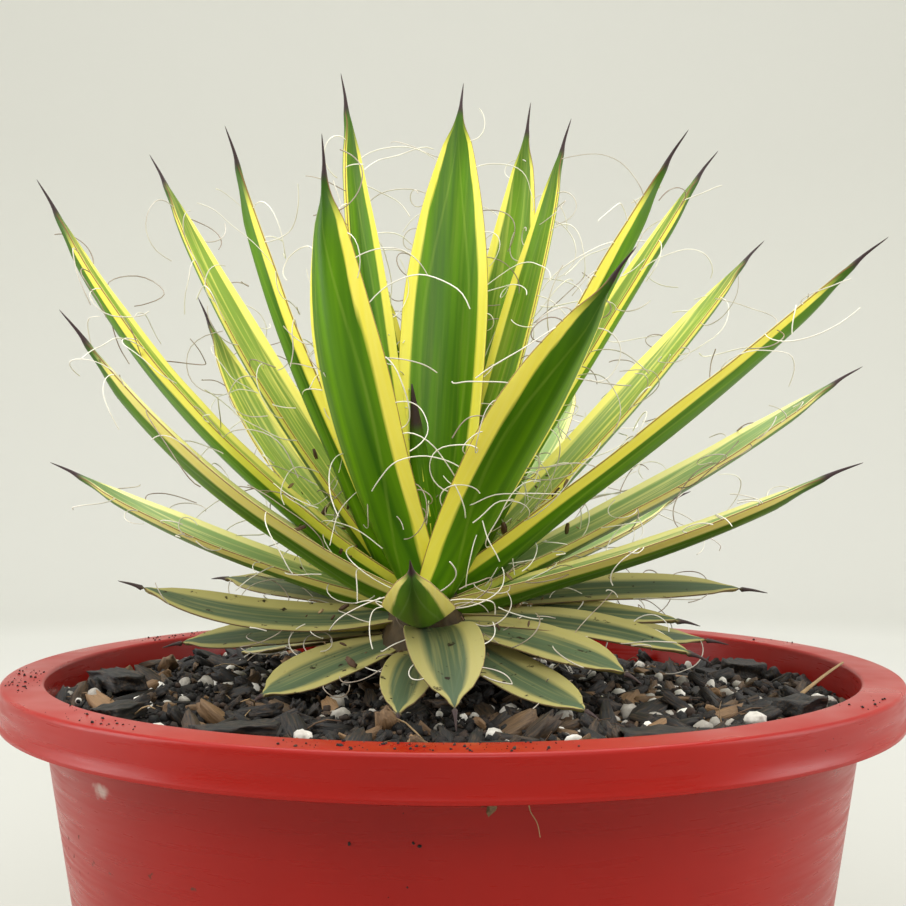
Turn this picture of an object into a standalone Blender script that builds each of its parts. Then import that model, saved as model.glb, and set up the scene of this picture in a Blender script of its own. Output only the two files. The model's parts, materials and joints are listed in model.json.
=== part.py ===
"""A variegated thread agave in its nursery pot.

Metres, +Z up. The origin is the centre of the pot's underside, and the rosette stands a little to the
left of the pot's axis. Each leaf is one closed loft whose midline is an arc of a circle in an upright
plane. The pot, the stem and the bud are turned, and the potting mix is a turned plug with a heaped top.
"""

import math
import random

import bmesh
import bpy
from mathutils import Matrix, Vector

MM = 0.001
OBJECT_NAME = "potted_agave"
CLEARANCE = 0.3 * MM
MERGE_DISTANCE = 0.00005

# Pot: a tapered bucket with a turned-down collar around its mouth, plain underneath.
POT_HEIGHT = 150 * MM
RIM_RADIUS = 100 * MM
COLLAR_DEPTH = 8 * MM
COLLAR_WALL = 1.6 * MM
BODY_TOP_RADIUS = 92.6 * MM
BODY_BASE_RADIUS = 68.5 * MM
WALL = 1.6 * MM
FLOOR_THICKNESS = 2.6 * MM
EDGE_ROUND = 0.8 * MM
FOOT_ROUND = 1.0 * MM
ROUND_STEPS = 2
POT_STEPS = 48
DRAIN_HOLES = 6
DRAIN_HOLE_RADIUS = 5 * MM
DRAIN_CIRCLE_RADIUS = 46 * MM
DRAIN_HOLE_SIDES = 12

# Potting mix: its level below the rim, and what the planting left uneven.
SOIL_BELOW_RIM = 6.5 * MM
SOIL_STEPS = 36
SOIL_RINGS = 9
SOIL_EDGE_DROP = 1.0 * MM
# Each heap: distance from the pot's axis, direction, spread and height (negative is a hollow).
SOIL_HEAPS = (
    (70 * MM, 195, 22 * MM, 4.0 * MM),
    (70 * MM, 148, 20 * MM, 2.6 * MM),
    (6 * MM, 180, 16 * MM, 3.0 * MM),
    (74 * MM, 325, 20 * MM, 1.6 * MM),
    (70 * MM, 50, 30 * MM, -3.0 * MM),
)

# Stem: a blunt cone that stands in a socket in the potting mix.
STEM_X = -6 * MM
STEM_FOOT_DEPTH = 18 * MM
STEM_FOOT_RADIUS = 9 * MM
STEM_BASE_RADIUS = 12.5 * MM
STEM_NECK_RADIUS = 4.0 * MM
STEM_STEPS = 20
LEAVES_START = 4 * MM
LEAVES_END = 27 * MM
ATTACH_POWER = 0.8
LEAF_STANDOFF = 1.2 * MM
BUD_LENGTH = 38 * MM
BUD_RADIUS = 3.2 * MM
BUD_LEAN = 6
BUD_LEAN_DIRECTION = 200

# Leaf: how its section changes between the neck and the spine. LEAF_STATIONS are shares of that run.
NECK_SHARE = 0.17
WIDEST_AT = 0.45
NECK_SWELL = 1.7
TAPER = 1.75
SPINE_SHARE = 0.1
SPINE_LONGEST = 10.5 * MM
SPINE_BASE_WIDTH = 2.2 * MM
SPINE_MID_SHARE = 0.65
SPINE_MID_WIDTH = 1.1 * MM
CHANNEL_DEPTH = 0.30
CHANNEL_FULL_WIDTH = 0.5
MIDRIB_THICKNESS = 2.6 * MM
SPINE_BASE_THICKNESS = 1.5 * MM
FLANK_BULGE = 0.72
LEAF_STATIONS = (0.0, 0.09, 0.20, 0.33, 0.48, 0.62, 0.75, 0.86, 0.94, 1.0)

# One row a leaf, from the oldest to the youngest: name, direction (0 = +X, 90 = +Y), rise where it
# leaves the stem, rise at its tip, length in mm, width in mm and roll about its own midline.
# Angles are in degrees.
LEAVES = (
    ("lower_leaf_01", 264, 5, -35, 38, 11, 0),
    ("lower_leaf_02", 215, -10, -24, 34, 14, 0),
    ("lower_leaf_03", 62, -5, -22, 62, 14, 0),
    ("lower_leaf_04", 305, -14, -11, 49, 13, 0),
    ("lower_leaf_05", 140, -5, -18, 62, 14, 0),
    ("lower_leaf_06", 98, -4, -22, 60, 14, 0),
    ("lower_leaf_07", 174, -2, -10, 53, 13, 0),
    ("lower_leaf_08", 277, 19, -57, 49, 16, 0),
    ("lower_leaf_09", 320, -1, -20, 48, 13, 0),
    ("lower_leaf_10", 14, -5, -9, 67, 12, 0),
    ("lower_leaf_11", 337, 5, -20, 57, 11, 0),
    ("lower_leaf_12", 190, -5, 22, 61, 14, 0),
    ("lower_leaf_13", 38, 2, -12, 70, 14, 0),
    ("lower_leaf_14", 352, 3, -9, 53, 9, 0),
    ("lower_leaf_15", 118, 6, -8, 74, 15, 0),
    ("lower_leaf_16", 152, 8, 1, 55, 13, 0),
    ("lower_leaf_17", 5, 9, -6, 73, 13, 0),
    ("middle_leaf_01", 78, 14, 4, 88, 16, 0),
    ("middle_leaf_02", 268, -8, 36, 52, 15, 0),
    ("middle_leaf_03", 168, 14, 26, 95, 16, 0),
    ("middle_leaf_04", 346, 14, 24, 94, 16, 0),
    ("middle_leaf_05", 38, 12, 20, 88, 14, 0),
    ("middle_leaf_06", 102, 20, 26, 98, 16, 0),
    ("middle_leaf_07", 13, 24, 31, 120, 18, 0),
    ("middle_leaf_08", 123, 27, 34, 100, 17, 0),
    ("middle_leaf_09", 195, 25, 54, 98, 18, 0),
    ("middle_leaf_10", 60, 32, 38, 104, 17, 0),
    ("upper_leaf_01", 27, 43, 44, 132, 18, 0),
    ("upper_leaf_02", 144, 30, 62, 105, 17, 0),
    ("upper_leaf_03", 86, 38, 46, 106, 17, 0),
    ("upper_leaf_04", 178, 33, 62, 130, 17, 0),
    ("upper_leaf_05", 353, 36, 40, 125, 18, 0),
    ("upper_leaf_06", 158, 51, 61, 130, 18, 0),
    ("upper_leaf_07", 112, 50, 56, 104, 17, 0),
    ("upper_leaf_08", 308, 54, 40, 89, 20, 0),
    ("upper_leaf_09", 17, 59, 53, 127, 15, 0),
    ("upper_leaf_10", 59, 60, 79, 134, 18, 0),
    ("upper_leaf_11", 187, 62, 74, 110, 16, 0),
    ("upper_leaf_12", 349, 64, 58, 113, 18, 0),
    ("upper_leaf_13", 231, 57, 88, 98, 21, 0),
    ("upper_leaf_14", 121, 68, 84, 78, 14, 0),
    ("upper_leaf_15", 32, 70, 73, 117, 15, 0),
    ("upper_leaf_16", 77, 82, 68, 130, 22, 0),
    ("upper_leaf_17", 154, 80, 82, 119, 18, 0),
)

# Loose pieces on the mix: name, distance from the pot's axis and direction, then size and heading.
BARK_CHIPS = (
    ("bark_chip_01", 72, 236, (15, 8, 3.0), 20),
    ("bark_chip_02", 80, 214, (12, 6, 2.6), 75),
    ("bark_chip_03", 76, 196, (14, 7, 3.2), 130),
    ("bark_chip_04", 74, 300, (13, 6, 2.8), 10),
    ("bark_chip_05", 80, 332, (11, 7, 3.0), 50),
    ("bark_chip_06", 80, 20, (12, 8, 3.4), 95),
    ("bark_chip_07", 78, 110, (14, 7, 2.8), 150),
)
PERLITE_GRAINS = (
    ("perlite_grain_01", 80, 226, 2.1),
    ("perlite_grain_02", 68, 246, 1.9),
    ("perlite_grain_03", 78, 318, 2.3),
    ("perlite_grain_04", 82, 345, 2.0),
    ("perlite_grain_05", 80, 175, 2.1),
)
LOOSE_SEED = 11
LOOSE_ROUGHNESS = 0.12


def radial(direction, distance=1.0):
    """Level vector of a length that points in a direction given in degrees."""
    angle = math.radians(direction)
    return Vector((math.cos(angle) * distance, math.sin(angle) * distance, 0.0))


def material(name, colour, roughness):
    """A Principled material for one sub-part."""
    made = bpy.data.materials.new(name)
    made.use_nodes = True
    shader = made.node_tree.nodes["Principled BSDF"]
    shader.inputs["Base Color"].default_value = (*colour, 1.0)
    shader.inputs["Roughness"].default_value = roughness
    shader.inputs["Metallic"].default_value = 0.0
    return made


def add_object(name, mesh, collection, finish=None):
    """Link a mesh into a collection under a name, with its material."""
    made = bpy.data.objects.new(name, mesh)
    if finish:
        mesh.materials.append(finish)
    collection.objects.link(made)
    return made


def mesh_of(name, points, faces=(), edges=()):
    """A mesh from plain points and either faces or edges."""
    mesh = bpy.data.meshes.new(name)
    mesh.from_pydata([tuple(point) for point in points], list(edges), list(faces))
    mesh.update()
    return mesh


def smooth(mesh, angle=40):
    """Shade a mesh smooth except across corners sharper than the angle in degrees."""
    mesh.shade_smooth()
    mesh.set_sharp_from_angle(angle=math.radians(angle))


def turned(name, profile, steps, collection, finish=None):
    """Turn (radius, height) points about Z: they run out along the top and down the outer side."""
    points = [(radius, 0.0, height) for radius, height in profile]
    edges = [(i, i + 1) for i in range(len(points) - 1)]
    made = add_object(name, mesh_of(name, points, edges=edges), collection, finish)
    screw = made.modifiers.new("turn", "SCREW")
    screw.steps = screw.render_steps = steps
    screw.use_merge_vertices = True
    screw.merge_threshold = MERGE_DISTANCE
    return made


def as_plain_mesh(source):
    """Replace an object's mesh and modifiers with the mesh that they make."""
    graph = bpy.context.evaluated_depsgraph_get()
    source.data = bpy.data.meshes.new_from_object(source.evaluated_get(graph))
    source.modifiers.clear()
    return source


def cut(target, cutter):
    """Take a cutter away from a target, and hide the cutter."""
    cutter.hide_render = True
    cutter.display_type = "WIRE"
    boolean = target.modifiers.new("cut_" + cutter.name, "BOOLEAN")
    boolean.operation = "DIFFERENCE"
    boolean.solver = "EXACT"
    boolean.object = cutter


def corner_arc(centre, radius, start, end):
    """(radius, height) points of a rounded corner, with angles in degrees."""
    angles = [start + (end - start) * i / ROUND_STEPS for i in range(ROUND_STEPS + 1)]
    return [
        (
            centre[0] + radius * math.cos(math.radians(angle)),
            centre[1] + radius * math.sin(math.radians(angle)),
        )
        for angle in angles
    ]


def body_radius(height):
    """Outer radius of the pot's wall at a height."""
    return BODY_BASE_RADIUS + (BODY_TOP_RADIUS - BODY_BASE_RADIUS) * height / POT_HEIGHT


def pot_profile():
    """The pot's section: from the middle of the floor, up the inside, over the collar and down."""
    top_inner = body_radius(POT_HEIGHT) - WALL
    round_at = POT_HEIGHT - EDGE_ROUND
    collar_foot = POT_HEIGHT - COLLAR_DEPTH
    under_collar = POT_HEIGHT - WALL
    return (
        [(0.0, FLOOR_THICKNESS), (body_radius(FLOOR_THICKNESS) - WALL, FLOOR_THICKNESS)]
        + corner_arc((top_inner + EDGE_ROUND, round_at), EDGE_ROUND, 180, 90)
        + corner_arc((RIM_RADIUS - EDGE_ROUND, round_at), EDGE_ROUND, 90, 0)
        + [
            (RIM_RADIUS, collar_foot),
            (RIM_RADIUS - COLLAR_WALL, collar_foot),
            (RIM_RADIUS - COLLAR_WALL, under_collar),
            (body_radius(under_collar), under_collar),
        ]
        + corner_arc((body_radius(0) - FOOT_ROUND, FOOT_ROUND), FOOT_ROUND, 0, -90)
        + [(0.0, 0.0)]
    )


def build_pot(parts, cutters):
    """The pot, with a ring of drainage holes through its floor."""
    finish = material("red_polypropylene", (0.62, 0.04, 0.02), 0.35)
    pot = turned("pot", pot_profile(), POT_STEPS, parts, finish)
    shape = bmesh.new()
    for hole in range(DRAIN_HOLES):
        centre = radial(360 * (hole + 0.5) / DRAIN_HOLES, DRAIN_CIRCLE_RADIUS)
        bmesh.ops.create_cone(
            shape,
            cap_ends=True,
            segments=DRAIN_HOLE_SIDES,
            radius1=DRAIN_HOLE_RADIUS,
            radius2=DRAIN_HOLE_RADIUS,
            depth=4 * FLOOR_THICKNESS,
            matrix=Matrix.Translation(centre),
        )
    drills = bpy.data.meshes.new("drain_drills")
    shape.to_mesh(drills)
    shape.free()
    cut(pot, add_object("drain_drills", drills, cutters))
    return pot


def soil_height(x, y):
    """Height of the potting mix's surface at a place."""
    height = POT_HEIGHT - SOIL_BELOW_RIM
    edge = body_radius(height) - WALL - CLEARANCE
    height -= SOIL_EDGE_DROP * min(1.0, math.hypot(x, y) / edge) ** 4
    for distance, direction, spread, rise in SOIL_HEAPS:
        centre = radial(direction, distance)
        away = math.hypot(x - centre.x, y - centre.y)
        height += rise * math.exp(-((away / spread) ** 2))
    return height


def build_soil(parts, cutters):
    """The potting mix: a plug inside the pot, its top heaped, with a socket for the stem."""
    level = POT_HEIGHT - SOIL_BELOW_RIM
    foot = FLOOR_THICKNESS + CLEARANCE
    gap = WALL + CLEARANCE
    edge = body_radius(level) - gap
    top = [(edge * ring / SOIL_RINGS, level) for ring in range(SOIL_RINGS + 1)]
    profile = top + [(body_radius(foot) - gap, foot), (0.0, foot)]
    finish = material("potting_mix", (0.02, 0.014, 0.01), 0.95)
    soil = as_plain_mesh(turned("soil", profile, SOIL_STEPS, parts, finish))
    shape = bmesh.new()
    shape.from_mesh(soil.data)
    for corner in shape.verts:
        if corner.co.z > level / 2:
            corner.co.z = soil_height(corner.co.x, corner.co.y)
            limit = body_radius(corner.co.z) - gap
            radius = math.hypot(corner.co.x, corner.co.y)
            if radius > edge - CLEARANCE:
                corner.co.x *= limit / radius
                corner.co.y *= limit / radius
    bmesh.ops.triangulate(shape, faces=shape.faces)
    shape.to_mesh(soil.data)
    shape.free()
    socket = turned("stem_socket", socket_profile(), STEM_STEPS, cutters)
    socket.location.x = STEM_X
    cut(soil, socket)
    return soil


def stem_foot_height():
    """Height of the stem's buried foot."""
    return POT_HEIGHT - SOIL_BELOW_RIM - STEM_FOOT_DEPTH


def stem_profile():
    """The stem's section, from its blunt top down to its buried foot."""
    top = POT_HEIGHT + LEAVES_END
    start = POT_HEIGHT + LEAVES_START
    foot = stem_foot_height()
    return [
        (0.0, top + CLEARANCE),
        (STEM_NECK_RADIUS * 0.7, top),
        (STEM_NECK_RADIUS, top - MM),
        (STEM_BASE_RADIUS, start - MM),
        (STEM_FOOT_RADIUS, start - 8 * MM),
        (STEM_FOOT_RADIUS, foot + 3 * MM),
        (STEM_FOOT_RADIUS * 0.6, foot),
        (0.0, foot),
    ]


def socket_profile():
    """The hole that the stem's foot stands in: the foot with a clearance all round."""
    foot = stem_foot_height()
    return [
        (0.0, POT_HEIGHT),
        (STEM_FOOT_RADIUS + CLEARANCE, POT_HEIGHT),
        (STEM_FOOT_RADIUS + CLEARANCE, foot - CLEARANCE),
        (0.0, foot - CLEARANCE),
    ]


def build_stem(parts):
    """The stem, and the closed bud that stands on it."""
    bark = material("stem_tissue", (0.28, 0.22, 0.08), 0.7)
    stem = turned("stem", stem_profile(), STEM_STEPS, parts, bark)
    stem.location.x = STEM_X
    profile = [
        (0.0, BUD_LENGTH),
        (BUD_RADIUS * 0.25, BUD_LENGTH * 0.78),
        (BUD_RADIUS * 0.75, BUD_LENGTH * 0.45),
        (BUD_RADIUS, BUD_LENGTH * 0.15),
        (BUD_RADIUS * 0.8, 0.0),
        (0.0, 0.0),
    ]
    green = material("bud_green", (0.2, 0.35, 0.05), 0.45)
    bud = turned("bud", profile, 12, parts, green)
    bud.location = (STEM_X, 0.0, POT_HEIGHT + LEAVES_END + 3 * CLEARANCE)
    lean = Vector((0, 0, 1)).cross(radial(BUD_LEAN_DIRECTION))
    bud.rotation_mode = "QUATERNION"
    bud.rotation_quaternion = Matrix.Rotation(math.radians(BUD_LEAN), 4, lean).to_quaternion()


def spine_length(length):
    """Length of the spine on a leaf of a length."""
    return min(SPINE_LONGEST, SPINE_SHARE * length)


def leaf_width(share, length, width):
    """Full width of a leaf at a share of its length, from neck to spine."""
    spine_at = 1 - spine_length(length) / length
    if share < WIDEST_AT:
        narrowing = ((WIDEST_AT - share) / WIDEST_AT) ** NECK_SWELL
        return width * (1 - (1 - NECK_SHARE) * narrowing)
    along = min(1.0, (share - WIDEST_AT) / (spine_at - WIDEST_AT))
    return SPINE_BASE_WIDTH + (width - SPINE_BASE_WIDTH) * (1 - along**TAPER)


def arc_point(start_rise, end_rise, length, distance):
    """(outward, upward, rise) at a distance along an arc that turns evenly."""
    turn = (end_rise - start_rise) / length
    rise = start_rise + turn * distance
    outward = (math.sin(rise) - math.sin(start_rise)) / turn
    upward = (math.cos(start_rise) - math.cos(rise)) / turn
    return outward, upward, rise


def leaf_section(width, thickness, channel):
    """(sideways, inward) corners of a leaf: margin, channel, margin, flank, keel, flank."""
    half = width / 2
    trough = channel * half
    flank = trough / 2 + FLANK_BULGE * thickness
    return (
        (-half, 0.0),
        (0.0, -trough),
        (half, 0.0),
        (half / 2, -flank),
        (0.0, -trough - thickness),
        (-half / 2, -flank),
    )


def leaf_base(rank, count):
    """(distance from the stem's axis, height) at which the leaf of this rank leaves the stem."""
    share = (rank / (count - 1)) ** ATTACH_POWER
    radius = STEM_BASE_RADIUS + (STEM_NECK_RADIUS - STEM_BASE_RADIUS) * share
    height = LEAVES_START + (LEAVES_END - LEAVES_START) * share
    return radius + LEAF_STANDOFF, POT_HEIGHT + height


def leaf_rings(row, rank, count):
    """Rings of section corners along a leaf, and its tip point."""
    _, direction, start, end, length, width, roll = row
    start, end, roll = (math.radians(angle) for angle in (start, end, roll))
    length, width = length * MM, width * MM
    outwards = radial(direction)
    sideways = radial(direction - 90)
    up = Vector((0.0, 0.0, 1.0))
    radius, height = leaf_base(rank, count)
    base = Vector((STEM_X, 0.0, height)) + outwards * radius

    def frame_at(share):
        """Midline point and the section's two axes at a share of the length."""
        out, climb, rise = arc_point(start, end, length, share * length)
        inward = up * math.cos(rise) - outwards * math.sin(rise)
        turn = roll * share
        side = sideways * math.cos(turn) + inward * math.sin(turn)
        inward = inward * math.cos(turn) - sideways * math.sin(turn)
        return base + outwards * out + up * climb, side, inward

    def ring(share, full, thickness):
        """The section's corners at a share of the length."""
        channel = CHANNEL_DEPTH * min(1.0, full / (CHANNEL_FULL_WIDTH * width))
        centre, side, inward = frame_at(share)
        corners = leaf_section(full, thickness, channel)
        return [centre + side * x + inward * y for x, y in corners]

    spine_share = spine_length(length) / length
    rings = []
    for station in LEAF_STATIONS:
        share = station * (1 - spine_share)
        thinning = (MIDRIB_THICKNESS - SPINE_BASE_THICKNESS) * (1 - share)
        full = leaf_width(share, length, width)
        rings.append(ring(share, full, SPINE_BASE_THICKNESS + thinning))
    rings.append(ring(1 - SPINE_MID_SHARE * spine_share, SPINE_MID_WIDTH, SPINE_MID_WIDTH))
    centre, _, inward = frame_at(1.0)
    return rings, centre - inward * (SPINE_MID_WIDTH / 2)


def leaf_mesh(row, rank, count):
    """(points, faces) of one closed leaf: a loft along its rings, capped at the neck."""
    rings, tip = leaf_rings(row, rank, count)
    corners = len(rings[0])
    points = [point for ring in rings for point in ring] + [tip]
    faces = [tuple(reversed(range(corners)))]
    for first in range(0, (len(rings) - 1) * corners, corners):
        for corner in range(corners):
            after = (corner + 1) % corners
            near, far = first, first + corners
            faces.append((near + corner, near + after, far + after, far + corner))
    last = (len(rings) - 1) * corners
    for corner in range(corners):
        faces.append((last + corner, last + (corner + 1) % corners, len(points) - 1))
    return points, faces


def build_leaves(parts):
    """Every leaf of the rosette, oldest first."""
    finishes = {
        "lower": material("old_leaf", (0.09, 0.14, 0.07), 0.6),
        "middle": material("grown_leaf", (0.12, 0.25, 0.03), 0.5),
        "upper": material("young_leaf", (0.06, 0.2, 0.01), 0.45),
    }
    for rank, row in enumerate(LEAVES):
        name = row[0]
        mesh = mesh_of(name, *leaf_mesh(row, rank, len(LEAVES)))
        smooth(mesh)
        add_object(name, mesh, parts, finishes[name.split("_")[0]])


def highest_soil(centre, reach):
    """Highest point of the potting mix under a round footprint."""
    around = [radial(angle, reach) + centre for angle in range(0, 360, 30)]
    return max(soil_height(place.x, place.y) for place in [centre, *around])


def build_loose_pieces(parts):
    """Bark chips and perlite grains that lie on the potting mix."""
    chance = random.Random(LOOSE_SEED)
    bark = material("pine_bark", (0.07, 0.045, 0.03), 0.9)
    for name, distance, direction, size, heading in BARK_CHIPS:
        shape = bmesh.new()
        bmesh.ops.create_cube(shape, size=1.0)
        bmesh.ops.subdivide_edges(shape, edges=shape.edges, cuts=1, use_grid_fill=True)
        place_loose(shape, radial(direction, distance * MM), size, heading, chance)
        finish_loose(name, shape, parts, bark)
    white = material("perlite", (0.6, 0.58, 0.52), 0.9)
    for name, distance, direction, radius in PERLITE_GRAINS:
        shape = bmesh.new()
        bmesh.ops.create_icosphere(shape, subdivisions=2, radius=0.5)
        size = (2 * radius, 1.8 * radius, 1.5 * radius)
        place_loose(shape, radial(direction, distance * MM), size, 0, chance)
        finish_loose(name, shape, parts, white)


def place_loose(shape, centre, size, heading, chance):
    """Size, roughen and turn a unit shape, and lay it on the potting mix."""
    for corner in shape.verts:
        jitter = [1 + chance.uniform(-LOOSE_ROUGHNESS, LOOSE_ROUGHNESS) for _ in size]
        corner.co = Vector([c * s * j * MM for c, s, j in zip(corner.co, size, jitter)])
    lowest = min(corner.co.z for corner in shape.verts)
    floor = highest_soil(centre, max(size) * 0.6 * MM) + CLEARANCE
    lift = Matrix.Translation((centre.x, centre.y, floor - lowest))
    turn = Matrix.Rotation(math.radians(heading), 4, "Z")
    bmesh.ops.transform(shape, matrix=lift @ turn, verts=shape.verts)


def finish_loose(name, shape, parts, finish):
    """Turn a shaped piece into its object."""
    bmesh.ops.triangulate(shape, faces=shape.faces)
    mesh = bpy.data.meshes.new(name)
    shape.to_mesh(mesh)
    shape.free()
    add_object(name, mesh, parts, finish)


def main():
    """Clear the scene and build every piece."""
    for old in list(bpy.data.objects):
        bpy.data.objects.remove(old)
    parts = bpy.data.collections.new(OBJECT_NAME)
    cutters = bpy.data.collections.new(OBJECT_NAME + "_cutters")
    for collection in (parts, cutters):
        bpy.context.scene.collection.children.link(collection)
    build_pot(parts, cutters)
    build_soil(parts, cutters)
    build_stem(parts)
    build_leaves(parts)
    build_loose_pieces(parts)


if __name__ == "__main__":
    main()
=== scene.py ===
"""Detailed model of a potted thread agave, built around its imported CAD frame.

The rosette's blades follow the CAD leaves, with broad clasping bases, peeling marginal threads and
slender spines. The pot is turned again more finely, and the potting mix is made of its own bark,
crumbs and perlite.
"""

import json
import logging
import math
import random
from dataclasses import dataclass, field
from enum import Enum

import bmesh
import bpy
import numpy as np
from mathutils import Matrix, Vector, noise
from mathutils.bvhtree import BVHTree

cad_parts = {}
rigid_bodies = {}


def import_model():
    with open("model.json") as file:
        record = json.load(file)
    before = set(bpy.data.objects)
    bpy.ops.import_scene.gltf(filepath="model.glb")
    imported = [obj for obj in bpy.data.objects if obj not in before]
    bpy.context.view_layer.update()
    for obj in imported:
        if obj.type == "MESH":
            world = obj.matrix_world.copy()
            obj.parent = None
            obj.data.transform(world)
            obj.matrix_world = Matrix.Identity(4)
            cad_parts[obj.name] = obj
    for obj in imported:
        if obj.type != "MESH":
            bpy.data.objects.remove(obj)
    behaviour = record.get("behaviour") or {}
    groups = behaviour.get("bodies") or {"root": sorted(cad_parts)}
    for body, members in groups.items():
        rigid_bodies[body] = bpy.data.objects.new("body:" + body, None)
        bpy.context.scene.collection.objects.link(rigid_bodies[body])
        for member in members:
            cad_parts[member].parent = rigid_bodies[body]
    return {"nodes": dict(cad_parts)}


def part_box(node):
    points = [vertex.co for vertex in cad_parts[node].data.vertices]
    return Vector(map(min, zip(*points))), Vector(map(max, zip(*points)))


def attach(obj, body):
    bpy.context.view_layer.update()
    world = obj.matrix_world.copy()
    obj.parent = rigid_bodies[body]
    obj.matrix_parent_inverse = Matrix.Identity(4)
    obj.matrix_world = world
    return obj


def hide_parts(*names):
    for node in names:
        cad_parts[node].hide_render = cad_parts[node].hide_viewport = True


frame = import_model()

MM = 0.001
BODY = "root"
WELD = 0.01 * MM
# What each point of a blade is marked with, in the order of a row of marks. Distances from the
# base and offsets are in millimetres, and so are distances from the tip, on a full-length spine.
# The inside mark is 1 on the inner face, scaled by how far the blade leans out: it sets the painted
# light there.
BLADE_MARKS = ("across", "along", "from_base", "from_tip", "inside", "offset")
POTTING_STAIN = "#2b2018"
LOG = logging.getLogger("potted_agave")

Colour = tuple[float, float, float, float]


class Age(Enum):
    """Age of a leaf, which is the first word of its CAD node's name."""

    OLD = "lower"
    GROWN = "middle"
    YOUNG = "upper"


class Slot(Enum):
    """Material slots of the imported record."""

    POT = "pot_plastic"
    MIX = "potting_mix"
    STEM = "stem_tissue"
    BUD = "bud_leaf"
    OLD_LEAF = "old_leaf"
    GROWN_LEAF = "grown_leaf"
    YOUNG_LEAF = "young_leaf"
    BARK = "bark"
    PERLITE = "perlite"


# How slowly a blade narrows from its widest place to its spine. 0 keeps the CAD's own outline.
FULLNESS = {Age.OLD: 3.0, Age.GROWN: 0.0, Age.YOUNG: 0.0}
# How far a blade's channel has flattened out with age.
FLATNESS = {Age.OLD: 1.0, Age.GROWN: 0.25, Age.YOUNG: 0.0}
LEAF_SLOTS = {Age.OLD: Slot.OLD_LEAF, Age.GROWN: Slot.GROWN_LEAF, Age.YOUNG: Slot.YOUNG_LEAF}


def linear(hex_colour: str) -> Colour:
    """Turn an sRGB hex colour into linear light.

    Args:
        hex_colour: Six hex digits after a hash sign.

    Returns:
        Red, green, blue and an alpha of 1.
    """
    channels = [int(hex_colour[i : i + 2], 16) / 255 for i in (1, 3, 5)]
    light = [c / 12.92 if c <= 0.04045 else ((c + 0.055) / 1.055) ** 2.4 for c in channels]
    return (light[0], light[1], light[2], 1.0)


def live_output(node: bpy.types.Node) -> bpy.types.NodeSocket:
    """Find the output that a node's settings have switched on.

    Args:
        node: The node.

    Returns:
        Its first live output.
    """
    return next(s for s in node.outputs if s.enabled)


def add_node(
    tree: bpy.types.NodeTree, kind: str, inputs: dict | None = None, **settings: object
) -> bpy.types.Node:
    """Add a node with its settings and links.

    Args:
        tree: Tree that gets the node.
        kind: Blender's type name of the node.
        inputs: What goes into each input, by name or number: a node, whose first live output is
            taken, an output socket or a plain value.
        settings: Attributes to set on the node.

    Returns:
        The new node.
    """
    node = tree.nodes.new(kind)
    for name, value in settings.items():
        setattr(node, name, value)
    for key, value in (inputs or {}).items():
        socket = node.inputs[key]
        if isinstance(key, str):
            socket = next(s for s in node.inputs if s.name == key and s.enabled)
        if isinstance(value, bpy.types.Node):
            value = live_output(value)
        if isinstance(value, bpy.types.NodeSocket):
            tree.links.new(value, socket)
        else:
            socket.default_value = value
    return node


def start_material(name: str) -> tuple[bpy.types.Material, bpy.types.NodeTree, bpy.types.Node]:
    """Make a material with only a Principled shader.

    Args:
        name: Name of the material.

    Returns:
        The material, its node tree and its shader node.
    """
    material = bpy.data.materials.new(name)
    material.use_nodes = True
    return material, material.node_tree, material.node_tree.nodes["Principled BSDF"]


def new_object(name: str, points: np.ndarray | list, faces: list) -> bpy.types.Object:
    """Make a plain mesh object.

    Args:
        name: Name of the object.
        points: Corner positions in metres.
        faces: Corner numbers of each face.

    Returns:
        The object, linked to the scene.
    """
    mesh = bpy.data.meshes.new(name)
    mesh.from_pydata([tuple(map(float, p)) for p in points], [], faces)
    mesh.update()
    made = bpy.data.objects.new(name, mesh)
    bpy.context.scene.collection.objects.link(made)
    return made


def new_piece(
    name: str, points: np.ndarray | list, faces: list, material: bpy.types.Material
) -> bpy.types.Object:
    """Make a smooth-shaded mesh object whose faces point outwards.

    Args:
        name: Name of the piece.
        points: Corner positions in metres.
        faces: Corner numbers of each face, wound alike.
        material: Finish of the piece.

    Returns:
        The object, linked to the scene.
    """
    piece = new_object(name, points, faces)
    mesh = piece.data
    shape = bmesh.new()
    shape.from_mesh(mesh)
    if shape.calc_volume(signed=True) < 0:
        bmesh.ops.reverse_faces(shape, faces=shape.faces)
        shape.to_mesh(mesh)
    shape.free()
    mesh.shade_smooth()
    mesh.materials.append(material)
    return piece


def turned(rows: list[tuple[float, float]], turns: int) -> list[tuple[float, float, float]]:
    """Turn points round the pot's axis.

    Args:
        rows: Radius and height of each ring.
        turns: Points in a ring.

    Returns:
        The points, ring by ring.
    """
    angles = [math.tau * turn / turns for turn in range(turns)]
    return [(r * math.cos(a), r * math.sin(a), z) for r, z in rows for a in angles]


def ring_faces(rows: int, count: int, first: int = 0) -> list[tuple[int, ...]]:
    """Join closed rings of points, each to the next, with quads.

    Args:
        rows: Number of rings.
        count: Points in a ring.
        first: Number of the first ring's first point.

    Returns:
        Corner numbers of each quad, ring by ring.
    """
    faces = []
    for row in range(rows - 1):
        near, far = first + row * count, first + (row + 1) * count
        for i in range(count):
            after = (i + 1) % count
            faces.append((near + i, near + after, far + after, far + i))
    return faces


def apply_modifiers(piece: bpy.types.Object) -> None:
    """Replace a piece's mesh by what its modifiers make of it.

    Args:
        piece: The piece.
    """
    graph = bpy.context.evaluated_depsgraph_get()
    piece.data = bpy.data.meshes.new_from_object(piece.evaluated_get(graph))
    piece.modifiers.clear()


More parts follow.
